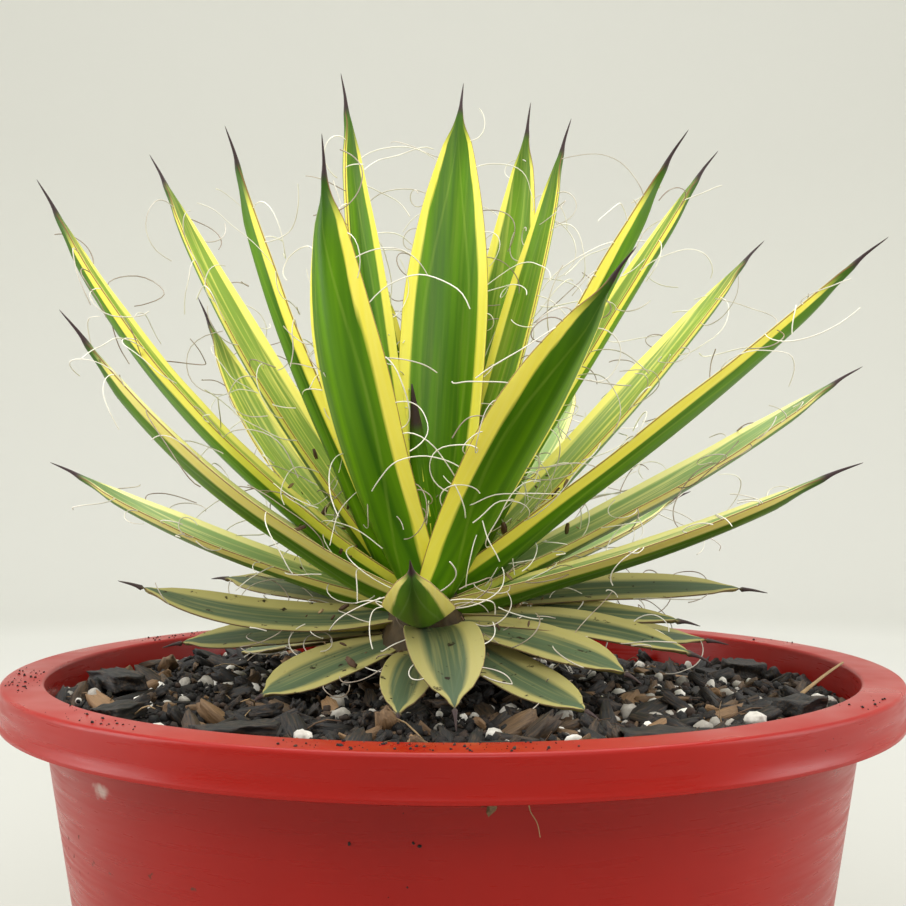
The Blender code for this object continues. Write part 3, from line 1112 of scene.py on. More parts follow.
@dataclass
class Prototypes:
    """A small set of rough shapes about 1 m long, which Geometry Nodes copies at real size."""

    name: str
    count: int = 5
    seed: int = 3

    def collection(self, shapes: list[bpy.types.Mesh]) -> bpy.types.Collection:
        """Put shapes in a collection of their own that isn't shown.

        Args:
            shapes: Meshes of the prototypes.

        Returns:
            The collection.
        """
        kept = bpy.data.collections.new(self.name)
        for number, mesh in enumerate(shapes):
            kept.objects.link(bpy.data.objects.new(f"{self.name}_{number}", mesh))
        return kept

    def roughened(
        self, shape: bmesh.types.BMesh, size: tuple, amount: float, number: int
    ) -> bpy.types.Mesh:
        """Scale and roughen a unit shape.

        Args:
            shape: The unit shape, which is freed.
            size: Length, width and thickness.
            amount: Depth of the roughness as a share of the size.
            number: Number of the prototype.

        Returns:
            The finished mesh.
        """
        chance = random.Random(self.seed * 101 + number)
        for corner in shape.verts:
            jitter = [1 + chance.uniform(-amount, amount) for _ in range(3)]
            corner.co = Vector([c * s * j for c, s, j in zip(corner.co, size, jitter)])
        bmesh.ops.triangulate(shape, faces=shape.faces)
        mesh = bpy.data.meshes.new(f"{self.name}_{number}")
        shape.to_mesh(mesh)
        shape.free()
        mesh.shade_smooth()
        own = np.array([corner.co for corner in mesh.vertices]) + number * 3.7
        set_values(mesh, "own_place", own)
        return mesh

    def slivers(self) -> bpy.types.Collection:
        """Return torn slabs, tapered towards their ends."""
        made = []
        chance = random.Random(self.seed)
        for number in range(self.count):
            shape = bmesh.new()
            bmesh.ops.create_cube(shape, size=1.0)
            bmesh.ops.subdivide_edges(shape, edges=shape.edges, cuts=2, use_grid_fill=True)
            slim, thin = chance.uniform(0.22, 0.6), chance.uniform(0.12, 0.28)
            bow = chance.uniform(-0.3, 0.3)
            for corner in shape.verts:
                taper = 1 - 0.5 * abs(corner.co.x * 2) ** 2
                corner.co.y = corner.co.y * taper + bow * corner.co.x**2
            made.append(self.roughened(shape, (1.0, slim, thin), 0.22, number))
        return self.collection(made)

    def grains(self, subdivisions: int) -> bpy.types.Collection:
        """Return lumpy grains.

        Args:
            subdivisions: How finely the ball that they start from is divided.

        Returns:
            The collection of grains.
        """
        made = []
        chance = random.Random(self.seed + 50)
        for number in range(self.count):
            shape = bmesh.new()
            bmesh.ops.create_icosphere(shape, subdivisions=subdivisions, radius=0.5)
            size = (1.0, chance.uniform(0.7, 1.0), chance.uniform(0.55, 0.85))
            made.append(self.roughened(shape, size, 0.16, number))
        return self.collection(made)

    def fibres(self) -> bpy.types.Collection:
        """Return bent root fibres, each a three-sided tube."""
        made = []
        chance = random.Random(self.seed + 90)
        for number in range(self.count):
            bend = chance.uniform(-1.2, 1.2)
            shape = bmesh.new()
            rings = []
            for step in range(8):
                share = step / 7 - 0.5
                middle = Vector((share, bend * (share**2 - 0.25), 0.1 * math.sin(5 * share)))
                rings.append(
                    [
                        shape.verts.new(
                            middle
                            + Vector((0, math.cos(a), math.sin(a))) * 0.012 * (1 - abs(share))
                        )
                        for a in (0, math.tau / 3, 2 * math.tau / 3)
                    ]
                )
            for near, far in zip(rings, rings[1:]):
                for i in range(3):
                    j = (i + 1) % 3
                    shape.faces.new((near[i], near[j], far[j], far[i]))
            shape.faces.new(rings[0][::-1])
            shape.faces.new(rings[-1])
            bmesh.ops.recalc_face_normals(shape, faces=shape.faces)
            made.append(self.roughened(shape, (1.0, 1.0, 1.0), 0.0, number))
        return self.collection(made)


def scatter_tree() -> bpy.types.NodeTree:
    """Build the tree that strews prototypes over a surface.

    Returns:
        The tree. Its inputs give the spacing, how full the clusters are and the pieces' sizes.
    """
    tree, given = new_tree(
        "strewn_matter",
        {
            "Pieces": "NodeSocketCollection",
            "Spacing": "NodeSocketFloat",
            "Density": "NodeSocketFloat",
            "Cluster Size": "NodeSocketFloat",
            "Cluster Edge": "NodeSocketFloat",
            "Smallest": "NodeSocketFloat",
            "Largest": "NodeSocketFloat",
            "Tilt": "NodeSocketFloat",
            "Seed": "NodeSocketInt",
            "Finish": "NodeSocketMaterial",
        },
    )
    get = given.outputs
    clusters = add_node(
        tree, "ShaderNodeTexNoise", {"Scale": get["Cluster Size"], "Detail": 1.0}
    ).outputs[0]
    past_edge = add_node(
        tree, "ShaderNodeMath", {0: clusters, 1: get["Cluster Edge"]}, operation="SUBTRACT"
    )
    share = add_node(
        tree, "ShaderNodeMath", {0: past_edge, 1: 12.0}, operation="MULTIPLY", use_clamp=True
    )
    strewn = add_node(
        tree,
        "GeometryNodeDistributePointsOnFaces",
        {
            "Mesh": get["Geometry"],
            "Distance Min": get["Spacing"],
            "Density Max": get["Density"],
            "Density Factor": share,
            "Seed": get["Seed"],
        },
        distribute_method="POISSON",
    )
    pieces = add_node(
        tree,
        "GeometryNodeCollectionInfo",
        {"Collection": get["Pieces"], "Separate Children": True, "Reset Children": True},
    )
    tilt = add_node(tree, "ShaderNodeCombineXYZ", {0: get["Tilt"], 1: get["Tilt"], 2: math.pi})
    back = add_node(
        tree, "ShaderNodeVectorMath", {0: tilt, 1: (-1.0, -1.0, -1.0)}, operation="MULTIPLY"
    )
    turn = add_node(
        tree,
        "FunctionNodeRandomValue",
        {"Min": back, "Max": tilt, "Seed": get["Seed"]},
        data_type="FLOAT_VECTOR",
    )
    even = add_node(
        tree,
        "FunctionNodeRandomValue",
        {"Min": 0.0, "Max": 1.0, "Seed": get["Seed"]},
        data_type="FLOAT",
    )
    often_small = add_node(tree, "ShaderNodeMath", {0: even, 1: 2.2}, operation="POWER")
    size = add_node(
        tree,
        "ShaderNodeMapRange",
        {"Value": often_small, "To Min": get["Smallest"], "To Max": get["Largest"]},
    )
    placed = add_node(
        tree,
        "GeometryNodeInstanceOnPoints",
        {
            "Points": strewn.outputs["Points"],
            "Instance": pieces,
            "Pick Instance": True,
            "Rotation": turn,
            "Scale": size.outputs[0],
        },
    )
    shade = add_node(
        tree, "FunctionNodeRandomValue", {"Min": 0.0, "Max": 1.0, "Seed": 77}, data_type="FLOAT"
    )
    shade = add_node(tree, "ShaderNodeMath", {0: shade, 1: 2.6}, operation="POWER")
    toned = add_node(
        tree,
        "GeometryNodeStoreNamedAttribute",
        {"Geometry": placed, "Name": "tone", "Value": shade},
        data_type="FLOAT",
        domain="INSTANCE",
    )
    real = add_node(tree, "GeometryNodeRealizeInstances", {"Geometry": toned})
    dressed = add_node(
        tree, "GeometryNodeSetMaterial", {"Geometry": real, "Material": get["Finish"]}
    )
    add_node(tree, "NodeGroupOutput", {0: dressed})
    return tree


@dataclass(frozen=True)
class Strewing:
    """How one kind of matter lies on a surface: spacings and sizes in metres."""

    spacing: float
    density: float
    smallest: float
    largest: float
    tilt: float = 0.5
    cluster_size: float = 20.0
    cluster_edge: float = -1.0
    seed: int = 1

    def apply(
        self,
        name: str,
        surface: tuple[np.ndarray, list],
        pieces: bpy.types.Collection,
        tree: bpy.types.NodeTree,
        material: bpy.types.Material,
    ) -> bpy.types.Object:
        """Strew prototypes over a surface.

        Args:
            name: Name of the new piece.
            surface: Points and faces of the surface.
            pieces: Prototypes to choose from.
            tree: The strewing tree.
            material: Finish of the matter.

        Returns:
            The new piece.
        """
        return bake(
            new_object(name, *surface),
            tree,
            {
                "Pieces": pieces,
                "Spacing": self.spacing,
                "Density": self.density,
                "Cluster Size": self.cluster_size,
                "Cluster Edge": self.cluster_edge,
                "Smallest": self.smallest,
                "Largest": self.largest,
                "Tilt": self.tilt,
                "Seed": self.seed,
                "Finish": material,
            },
        )


@dataclass
class PottingMix:
    """Bark-based potting mix: a crumbly bed strewn with bark, crumbs, perlite and fibres."""

    tree: bpy.types.NodeTree
    pot: PotSizes
    box: tuple[Vector, Vector] = field(default_factory=lambda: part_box("soil"))
    rings: int = 72
    turns: int = 200
    coarse_relief: float = 1.5 * MM
    fine_relief: float = 0.7 * MM
    coarse_scale: float = 130.0
    fine_scale: float = 420.0
    sunk: float = 0.7 * MM

    def surface(self) -> tuple[np.ndarray, list]:
        """Return points and faces of the crumbly top, which follows the CAD's heaps."""
        search = CadShape("soil").tree()
        radius = min(self.box[1].x, -self.box[0].x) - 0.1 * MM
        points = [self.dropped(search, 0.0, 0.0)]
        faces = []
        for ring in range(1, self.rings + 1):
            out = radius * ring / self.rings
            for turn in range(self.turns):
                angle = math.tau * turn / self.turns
                points.append(self.dropped(search, out * math.cos(angle), out * math.sin(angle)))
        for turn in range(self.turns):
            after = (turn + 1) % self.turns
            faces.append((0, 1 + turn, 1 + after))
            for ring in range(self.rings - 1):
                near, far = 1 + ring * self.turns, 1 + (ring + 1) * self.turns
                faces.append((near + turn, far + turn, far + after, near + after))
        return np.array(points), faces

    def dropped(self, search: BVHTree, x: float, y: float) -> tuple[float, float, float]:
        """Find the crumbly surface over a place.

        Args:
            search: Search tree of the CAD mix.
            x: Place across.
            y: Place back.

        Returns:
            The point on the surface.
        """
        top = self.box[1].z
        above = Vector((x * 0.995, y * 0.995, top + 0.01))
        hit = search.ray_cast(above, Vector((0, 0, -1)))[0]
        height = hit.z if hit and hit.z > top - 20 * MM else top - 6 * MM
        coarse = noise.noise(Vector((x, y, 0.3)) * self.coarse_scale)
        fine = noise.noise(Vector((x, y, 1.7)) * self.fine_scale)
        relief = coarse * self.coarse_relief + fine * self.fine_relief
        return (x, y, height + relief - self.sunk)

    def build(self) -> bpy.types.Material:
        """Make the bed and everything strewn on it, and return the finish of the bark."""
        top, faces = self.surface()
        compost = COMPOST.build()
        bark = PINE_BARK.build()
        rim = list(range(len(top) - self.turns, len(top)))
        drawn_in = (self.pot.floor_inner - 2.5 * MM) / np.hypot(*top[rim[0], :2])
        foot = top[rim] * (drawn_in, drawn_in, 0) + (0, 0, self.box[0].z)
        start = len(top)
        walls = [
            (rim[i], start + i, start + (i + 1) % self.turns, rim[(i + 1) % self.turns])
            for i in range(self.turns)
        ]
        base = tuple(reversed(range(start, start + self.turns)))
        bed = new_piece("mix_bed", np.vstack([top, foot]), faces + walls + [base], compost)
        chance = np.random.default_rng(5)
        set_values(bed.data, "tone", chance.random(len(bed.data.vertices)) * 0.5)
        settle(bed, Slot.MIX, "soil")
        slivers = Prototypes("sliver", 7).slivers()
        lumps = Prototypes("lump", 5).grains(2)
        crumbs = Prototypes("crumb", 5).grains(1)
        fibres = Prototypes("fibre", 6).fibres()
        surface = (top + (0, 0, 0.5 * MM), faces)
        lay_bark = Strewing(2.5 * MM, 90000, 2.0 * MM, 12 * MM, 0.75, seed=2)
        lay_crumbs = Strewing(1.1 * MM, 300000, 0.7 * MM, 3.4 * MM, 1.5, seed=3)
        lay_perlite = Strewing(3.6 * MM, 60000, 1.6 * MM, 5.0 * MM, 1.5, 45.0, 0.45, seed=4)
        lay_fibres = Strewing(9 * MM, 12000, 8 * MM, 22 * MM, 0.35, seed=6)
        kinds = (
            ("mix_bark", lay_bark, slivers, bark, Slot.BARK),
            ("mix_crumbs", lay_crumbs, crumbs, compost, Slot.MIX),
            ("mix_perlite", lay_perlite, lumps, PERLITE.build(), Slot.PERLITE),
            ("mix_fibres", lay_fibres, fibres, DRY_SCRAP.build(), Slot.BARK),
        )
        for name, strewing, pieces, material, slot in kinds:
            settle(strewing.apply(name, surface, pieces, self.tree, material), slot)
        return bark


@dataclass
class LoosePieces:
    """The larger bark chips and perlite grains, refined from their CAD nodes."""

    bark: bpy.types.Material
    perlite: bpy.types.Material
    levels: int = 2
    seed: int = 5

    def refine(self, node: str, material: bpy.types.Material, slot: Slot, relief: float) -> None:
        """Round and roughen a copy of a CAD node.

        Args:
            node: Name of the CAD node.
            material: Finish of the piece.
            slot: Material slot of the piece.
            relief: Depth of the roughness.
        """
        shape = CadShape(node)
        piece = new_piece(f"fine_{node}", shape.points, shape.triangles.tolist(), material)
        subdivide(piece, self.levels)
        for corner in piece.data.vertices:
            push = noise.noise_vector(corner.co * 700) + noise.noise_vector(corner.co * 240) * 1.5
            corner.co += push * relief
        tone = 0.12 if slot is Slot.BARK else 0.45
        set_values(piece.data, "tone", np.full(len(piece.data.vertices), tone))
        own = np.array([corner.co for corner in piece.data.vertices])
        _, _, axes = np.linalg.svd(own - own.mean(0), full_matrices=False)
        set_values(piece.data, "own_place", (own - own.mean(0)) @ axes.T / (14 * MM))
        settle(piece, slot, node)

    def build(self) -> None:
        """Refine every loose CAD piece."""
        # Unseeded, the vector noise starts from the clock and each run differs.
        noise.seed_set(self.seed)
        for node in sorted(frame["nodes"]):
            if node.startswith("bark_chip"):
                self.refine(node, self.bark, Slot.BARK, 0.35 * MM)
            elif node.startswith("perlite"):
                self.refine(node, self.perlite, Slot.PERLITE, 0.22 * MM)


@dataclass(frozen=True)
class BladeShape:
    """How a blade's section is drawn between the measured rings of its CAD leaf."""

    upper_points: int = 13
    lower_points: int = 15
    ring_spacing: float = 2.6 * MM
    base_share: float = 0.66
    base_swell: float = 2.0
    base_depth: float = 5 * MM
    base_thickening: float = 1.6
    margin_thickness: float = 0.45 * MM
    roll: float = math.radians(24)
    round_below: float = 0.8
    flat_above: float = 1.3
    waviness: float = 0.3 * MM
    longest_spine: float = 10.5 * MM
    spine_share: float = 0.1
    spine_width: float = 1.5 * MM
    tip_thickness: float = 1.0 * MM
    tip_thickening: float = 0.06
    # Distance from the tip and width, as shares of the spine's length and of its base's width.
    spine: tuple = ((0.0, 0.06), (0.15, 0.2), (0.4, 0.36), (0.65, 0.5), (0.82, 0.68), (1.0, 1.0))
    # Distances from the tip, as shares of the spine's length.
    tip_rings: tuple = (
        0.05, 0.15, 0.28, 0.42, 0.56, 0.68, 0.8, 0.9, 1.0, 1.1, 1.22, 1.36, 1.52, 1.7
    )


@dataclass
class LeafBlade:
    """One blade of the rosette."""

    node: str
    skeleton: LeafSkeleton
    shape: BladeShape
    seed: int
    fullness: float
    flatness: float

    @property
    def length(self) -> float:
        """Length along the midline."""
        return float(self.skeleton.distance[-1])

    @property
    def spine(self) -> float:
        """Length of the spine."""
        return min(self.shape.longest_spine, self.shape.spine_share * self.length)

    def places(self) -> np.ndarray:
        """Return the distances of the rings from the CAD leaf's base, rising."""
        start, end = -self.shape.base_depth, self.length - 1.95 * self.spine
        plain = np.linspace(start, end, max(8, int((end - start) / self.shape.ring_spacing)))
        tip = self.length - np.array(self.shape.tip_rings[::-1]) * self.spine
        return np.concatenate([plain, tip])

    def widths(self, at: np.ndarray) -> np.ndarray:
        """Return the full width at distances from the base."""
        s = self.skeleton
        full = curve_through(s.distance, s.width, np.clip(at, 0, self.length))
        widest = s.width.argmax()
        top, spot = s.width[widest], s.distance[widest]
        short = np.clip((spot - at) / spot, 0, 1.2)
        swelled = top * (1 - (1 - self.shape.base_share) * short**self.shape.base_swell)
        full = np.where(at < spot, swelled, full)
        from_tip = (self.length - at) / self.spine
        if self.fullness:
            run = np.clip((at - spot) / (self.length - self.spine - spot), 0, 1)
            full = np.where(at < spot, full, top * (1 - run**self.fullness))
        joining = smooth_step(1.0, 2.0, from_tip)
        full = full * joining + np.minimum(full, self.shape.spine_width * from_tip) * (1 - joining)
        table = np.array(self.shape.spine)
        slim = np.interp(from_tip, table[:, 0], table[:, 1]) * self.shape.spine_width
        return np.where(from_tip < 1, slim, full)

    def section(self, width: float, thick: float, trough: float, roundness: float) -> np.ndarray:
        """Draw one section.

        Args:
            width: Full width.
            thick: Thickness at the midrib.
            trough: Depth of the channel.
            roundness: 0 for a leaf, 1 for a round spine.

        Returns:
            Sideways and inward position of each point: the channel side from left to right, the
            right edge, the keel side from right to left, the left edge.
        """
        half = width / 2
        edge = min(self.shape.margin_thickness, width * 0.5) / 2
        up = -np.cos(np.linspace(0, math.pi, self.shape.upper_points))
        down = np.cos(np.linspace(0, math.pi, self.shape.lower_points))
        upper = -trough * (1 - np.abs(up) ** 1.7) + edge
        lower = -trough * (1 - np.abs(down) ** 1.7)
        lower -= thick * (1 - np.abs(down) ** 1.4) + edge
        flat = np.concatenate(
            [
                np.column_stack([up * half, upper]),
                [[half + edge * 0.8, 0.0]],
                np.column_stack([down * half, lower]),
                [[-half - edge * 0.8, 0.0]],
            ]
        )
        over = np.linspace(168, 12, self.shape.upper_points)
        under = np.linspace(-12, -168, self.shape.lower_points)
        angles = np.radians(np.concatenate([over, [0], under, [180]]))
        circle = np.column_stack([np.cos(angles), np.sin(angles)]) * half
        circle[:, 1] -= half * 0.5
        return flat * (1 - roundness) + circle * roundness

    def build(self, material: bpy.types.Material, slot: Slot) -> None:
        """Loft the blade, mark where each point lies on it and dress it."""
        s, shape = self.skeleton, self.shape
        at = self.places()
        centres = curve_through(s.distance, s.centre, at)
        inwards = curve_through(s.distance, s.inward, np.clip(at, 0, self.length))
        inwards /= np.linalg.norm(inwards, axis=1)[:, None]
        widths = self.widths(at)
        thick = curve_through(s.distance, s.thickness, np.clip(at, 0, self.length - 7 * MM))
        near_base = smooth_step(0.3 * self.length, 0.0, at)
        thick = thick * (1 + (shape.base_thickening - 1) * near_base)
        from_spine = np.maximum(0, self.length - self.spine - at)
        thick = np.minimum(thick, shape.tip_thickness + shape.tip_thickening * from_spine)
        thick *= 1 - 0.2 * self.flatness
        trough = s.trough_share * widths / 2 * np.minimum(1, widths / widths.max() * 2)
        trough *= 1 - 0.5 * self.flatness
        sides, inwards = self.rolled(inwards)
        spines = (self.length - at) / self.spine
        roundness = smooth_step(shape.flat_above, shape.round_below, spines)
        across = np.concatenate(
            [
                -np.cos(np.linspace(0, math.pi, shape.upper_points)),
                [1.05],
                np.cos(np.linspace(0, math.pi, shape.lower_points)),
                [-1.05],
            ]
        )
        # Painted light: the more a blade leans out, the paler its inner face is painted, where the
        # overhead light falls on it.
        lean = centres[-1] - centres[0]
        upright = math.degrees(math.asin(lean[2] / np.linalg.norm(lean)))
        painted_light_share = min(1.0, max(0.05, (76 - upright) / 24))
        inside = np.concatenate(
            [np.ones(shape.upper_points), [0.5], np.zeros(shape.lower_points), [0.5]]
        ) * painted_light_share
        count = len(across)
        points, marks = [], []
        for i, place in enumerate(at):
            ring = self.section(widths[i], thick[i], trough[i], roundness[i])
            wave = noise.noise(Vector((place * 60, self.seed * 7.3, 0))) * shape.waviness
            wave *= 1 - roundness[i]
            lift = np.abs(across) ** 3 * wave
            points.append(
                centres[i] + ring[:, :1] * sides[i] + (ring[:, 1:] + lift[:, None]) * inwards[i]
            )
            marks.append(
                np.column_stack(
                    [
                        across,
                        np.full(count, place / self.length),
                        np.full(count, place / MM),
                        np.full(count, spines[i] * shape.longest_spine / MM),
                        inside,
                        ring[:, 0] / MM,
                    ]
                )
            )
        faces = ring_faces(len(at), count)
        base, tip = len(at) * count, len(at) * count + 1
        last = (len(at) - 1) * count
        for i in range(count):
            j = (i + 1) % count
            faces.append((base, j, i))
            faces.append((tip, last + i, last + j))
        points.append(points[0].mean(0)[None])
        points.append(curve_through(s.distance, s.centre, np.array([self.length])))
        marks.append(np.array([[0, 0, 0, self.length / MM, 0.5, 0]]))
        marks.append(np.array([[0, 1, self.length / MM, 0, 0.5, 0]]))
        blade = new_piece(f"blade_{self.node}", np.vstack(points), faces, material)
        for name, column in zip(BLADE_MARKS, np.vstack(marks).T):
            set_values(blade.data, name, column)
        tone = random.Random(self.seed).random()
        set_values(blade.data, "tone", np.full(len(blade.data.vertices), tone))
        settle(blade, slot, self.node)

    def rolled(self, inwards: np.ndarray) -> tuple[np.ndarray, np.ndarray]:
        """Turn the sections so that a slack old blade lies open towards the front of the pot.

        Args:
            inwards: Inward direction of each ring.

        Returns:
            Side and inward direction of each ring.
        """
        side = np.tile(self.skeleton.side, (len(inwards), 1))
        angle = self.shape.roll * self.flatness * self.skeleton.side[1]
        turned = side * math.cos(angle) + inwards * math.sin(angle)
        return turned, inwards * math.cos(angle) - side * math.sin(angle)

    def margin_place(self, share: float, hand: int) -> tuple[np.ndarray, ...]:
        """Find a place on a margin.

        Args:
            share: Share of the blade's length.
            hand: -1 for one margin and 1 for the other.

        Returns:
            The place, and the directions outward, inward and along the blade.
        """
        s = self.skeleton
        at = np.array([share * self.length, share * self.length + MM])
        middle = curve_through(s.distance, s.centre, at)
        inward = curve_through(s.distance, s.inward, at)[0]
        side, inward = (rows[0] for rows in self.rolled(inward[None] / np.linalg.norm(inward)))
        along = (middle[1] - middle[0]) / np.linalg.norm(middle[1] - middle[0])
        outward = side * hand
        return middle[0] + outward * self.widths(at)[0] / 2, outward, inward, along


def thread_tree() -> bpy.types.NodeTree:
    """Build the tree that grows a curling thread from each point of its host.

    Returns:
        The tree. A host point's vectors give the thread's reach, bend and drift.
    """
    tree, given = new_tree(
        "marginal_threads",
        {
            "Steps": "NodeSocketInt",
            "Thickness": "NodeSocketFloat",
            "Waver": "NodeSocketFloat",
            "Waver Scale": "NodeSocketFloat",
            "Finish": "NodeSocketMaterial",
        },
    )
    get = given.outputs
    line = add_node(tree, "GeometryNodeCurvePrimitiveLine", {"Start": (0, 0, 0), "End": (0, 0, 1)})
    divided = add_node(
        tree, "GeometryNodeResampleCurve", {"Curve": line, "Count": get["Steps"]}, mode="COUNT"
    )
    factor = add_node(tree, "GeometryNodeSplineParameter").outputs["Factor"]
    marked = add_node(
        tree,
        "GeometryNodeStoreNamedAttribute",
        {"Geometry": divided, "Name": "grown", "Value": factor},
        data_type="FLOAT",
        domain="POINT",
    )
    planted = add_node(
        tree, "GeometryNodeInstanceOnPoints", {"Points": get["Geometry"], "Instance": marked}
    )
    real = add_node(tree, "GeometryNodeRealizeInstances", {"Geometry": planted})
    read = {
        name: add_node(
            tree, "GeometryNodeInputNamedAttribute", {"Name": name}, data_type=kind
        ).outputs[0]
        for name, kind in (
            ("grown", "FLOAT"),
            ("curl", "FLOAT"),
            ("reach", "FLOAT_VECTOR"),
            ("bend", "FLOAT_VECTOR"),
            ("drift", "FLOAT_VECTOR"),
        )
    }
    height = add_node(tree, "ShaderNodeCombineXYZ", {"Z": read["grown"]})
    position = add_node(tree, "GeometryNodeInputPosition")
    root = add_node(tree, "ShaderNodeVectorMath", {0: position, 1: height}, operation="SUBTRACT")
    angle = add_node(
        tree, "ShaderNodeMath", {0: read["curl"], 1: read["grown"]}, operation="MULTIPLY"
    )
    sine = add_node(tree, "ShaderNodeMath", {0: angle}, operation="SINE")
    ahead = add_node(tree, "ShaderNodeMath", {0: sine, 1: read["curl"]}, operation="DIVIDE")
    cosine = add_node(tree, "ShaderNodeMath", {0: angle}, operation="COSINE")
    versine = add_node(tree, "ShaderNodeMath", {0: 1.0, 1: cosine}, operation="SUBTRACT")
    aside = add_node(tree, "ShaderNodeMath", {0: versine, 1: read["curl"]}, operation="DIVIDE")
    squared = add_node(
        tree, "ShaderNodeMath", {0: read["grown"], 1: read["grown"]}, operation="MULTIPLY"
    )
    place = root
    for direction, amount in (("reach", ahead), ("bend", aside), ("drift", squared)):
        moved = add_node(
            tree, "ShaderNodeVectorMath", {0: read[direction], "Scale": amount}, operation="SCALE"
        )
        place = add_node(tree, "ShaderNodeVectorMath", {0: place, 1: moved}, operation="ADD")
    wander = add_node(
        tree, "ShaderNodeTexNoise", {"Vector": place, "Scale": get["Waver Scale"], "Detail": 1.0}
    ).outputs["Color"]
    centred = add_node(
        tree, "ShaderNodeVectorMath", {0: wander, 1: (0.5, 0.5, 0.5)}, operation="SUBTRACT"
    )
    amount = add_node(
        tree, "ShaderNodeMath", {0: get["Waver"], 1: read["grown"]}, operation="MULTIPLY"
    )
    wavered = add_node(
        tree, "ShaderNodeVectorMath", {0: centred, "Scale": amount}, operation="SCALE"
    )
    place = add_node(tree, "ShaderNodeVectorMath", {0: place, 1: wavered}, operation="ADD")
    grown = add_node(tree, "GeometryNodeSetPosition", {"Geometry": real, "Position": place})
    thinning = add_node(
        tree, "ShaderNodeMath", {0: read["grown"], 1: -0.65, 2: 1.0}, operation="MULTIPLY_ADD"
    )
    tapered = add_node(tree, "GeometryNodeSetCurveRadius", {"Curve": grown, "Radius": thinning})
    half = add_node(tree, "ShaderNodeMath", {0: get["Thickness"], 1: 0.5}, operation="MULTIPLY")
    outline = add_node(tree, "GeometryNodeCurvePrimitiveCircle", {"Resolution": 4, "Radius": half})
    swept = add_node(
        tree,
        "GeometryNodeCurveToMesh",
        {"Curve": tapered, "Profile Curve": outline, "Fill Caps": True},
    )
    dressed = add_node(
        tree, "GeometryNodeSetMaterial", {"Geometry": swept, "Material": get["Finish"]}
    )
    add_node(tree, "NodeGroupOutput", {0: dressed})
    return tree


@dataclass(frozen=True)
class ThreadHabit:
    """How the margins of leaves of one age shed threads: spacings and lengths in metres."""

    spacing: float
    first: float
    last: float
    shortest: float
    longest: float


THREAD_HABITS = {
    Age.YOUNG: ThreadHabit(6.5 * MM, 0.06, 0.88, 8 * MM, 31 * MM),
    Age.GROWN: ThreadHabit(7.0 * MM, 0.08, 0.88, 7 * MM, 29 * MM),
    Age.OLD: ThreadHabit(10 * MM, 0.15, 0.9, 5 * MM, 19 * MM),
}


@dataclass
class Rosette:
    """All the blades and their marginal threads."""

    shape: BladeShape = BladeShape()
    thread_thickness: float = 0.27 * MM
    thread_steps: int = 16
    thread_waver: float = 7 * MM
    thread_waver_scale: float = 55.0
    bare_share: float = 0.12
    seed: int = 41
    blades: list[LeafBlade] = field(default_factory=list)

    def crown(self) -> np.ndarray:
        """Return the middle of the rosette, at the height of the rim."""
        low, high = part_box("stem")
        return np.array([(low.x + high.x) / 2, (low.y + high.y) / 2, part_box("pot")[1].z])

    def build(self) -> None:
        """Make the blades of each age, then their threads."""
        materials = {age: LEAF_FINISHES[age].build() for age in Age}
        crown = self.crown()
        for age in Age:
            nodes = sorted(n for n in frame["nodes"] if n.startswith(f"{age.value}_leaf"))
            for node in nodes:
                skeleton = LeafSkeleton.measure(node, crown)
                seed = self.seed + len(self.blades)
                blade = LeafBlade(node, skeleton, self.shape, seed, FULLNESS[age], FLATNESS[age])
                blade.build(materials[age], LEAF_SLOTS[age])
                self.blades.append(blade)
        self.grow_threads()

    def grow_threads(self) -> None:
        """Plant threads along the margins and grow them."""
        chance = random.Random(self.seed)
        keys = ("root", "reach", "bend", "drift", "curl", "tone")
        roots: dict[str, list] = {key: [] for key in keys}
        for blade in self.blades:
            habit = THREAD_HABITS[Age(blade.node.split("_")[0])]
            run = (habit.last - habit.first) * blade.length
            for hand in (-1, 1):
                for number in range(int(run / habit.spacing)):
                    share = habit.first + (number + chance.random()) * habit.spacing / blade.length
                    if chance.random() < self.bare_share:
                        continue
                    self.plant(blade, share, hand, habit, chance, roots)
        host = new_object("leaf_threads", roots.pop("root"), [])
        for name, values in roots.items():
            set_values(host.data, name, np.array(values))
        bake(
            host,
            thread_tree(),
            {
                "Steps": self.thread_steps,
                "Thickness": self.thread_thickness,
                "Waver": self.thread_waver,
                "Waver Scale": self.thread_waver_scale,
                "Finish": LEAF_THREAD.build(),
            },
        )
        host.data.shade_smooth()
        settle(host, Slot.YOUNG_LEAF)

    def plant(
        self,
        blade: LeafBlade,
        share: float,
        hand: int,
        habit: ThreadHabit,
        chance: random.Random,
        roots: dict[str, list],
    ) -> None:
        """Add one thread's root and habit.

        Args:
            blade: Blade that it peels from.
            share: Share of the blade's length.
            hand: Which margin.
            habit: How this blade sheds threads.
            chance: Source of variation.
            roots: Lists that the thread is added to.
        """
        place, outward, inward, along = blade.margin_place(share, hand)
        length = habit.shortest + (habit.longest - habit.shortest) * chance.random() ** 1.4
        lean = chance.uniform(-0.5, 1.0)
        reach = outward + along * lean + inward * chance.uniform(-0.5, 0.7)
        reach /= np.linalg.norm(reach)
        turn = along * chance.choice((-1, -1, 1)) + inward * chance.uniform(-0.8, 0.8)
        bend = turn - reach * np.dot(turn, reach)
        bend /= np.linalg.norm(bend)
        drift = np.cross(reach, bend) * chance.uniform(-0.35, 0.35)
        roots["root"].append(place)
        roots["reach"].append(reach * length)
        roots["bend"].append(bend * length)
        roots["drift"].append(drift * length)
        roots["curl"].append(chance.uniform(0.5, 2.4) + 3.2 * chance.random() ** 2)
        roots["tone"].append(chance.choice((0.1, 0.5, 0.8, 0.9, 1.0)))


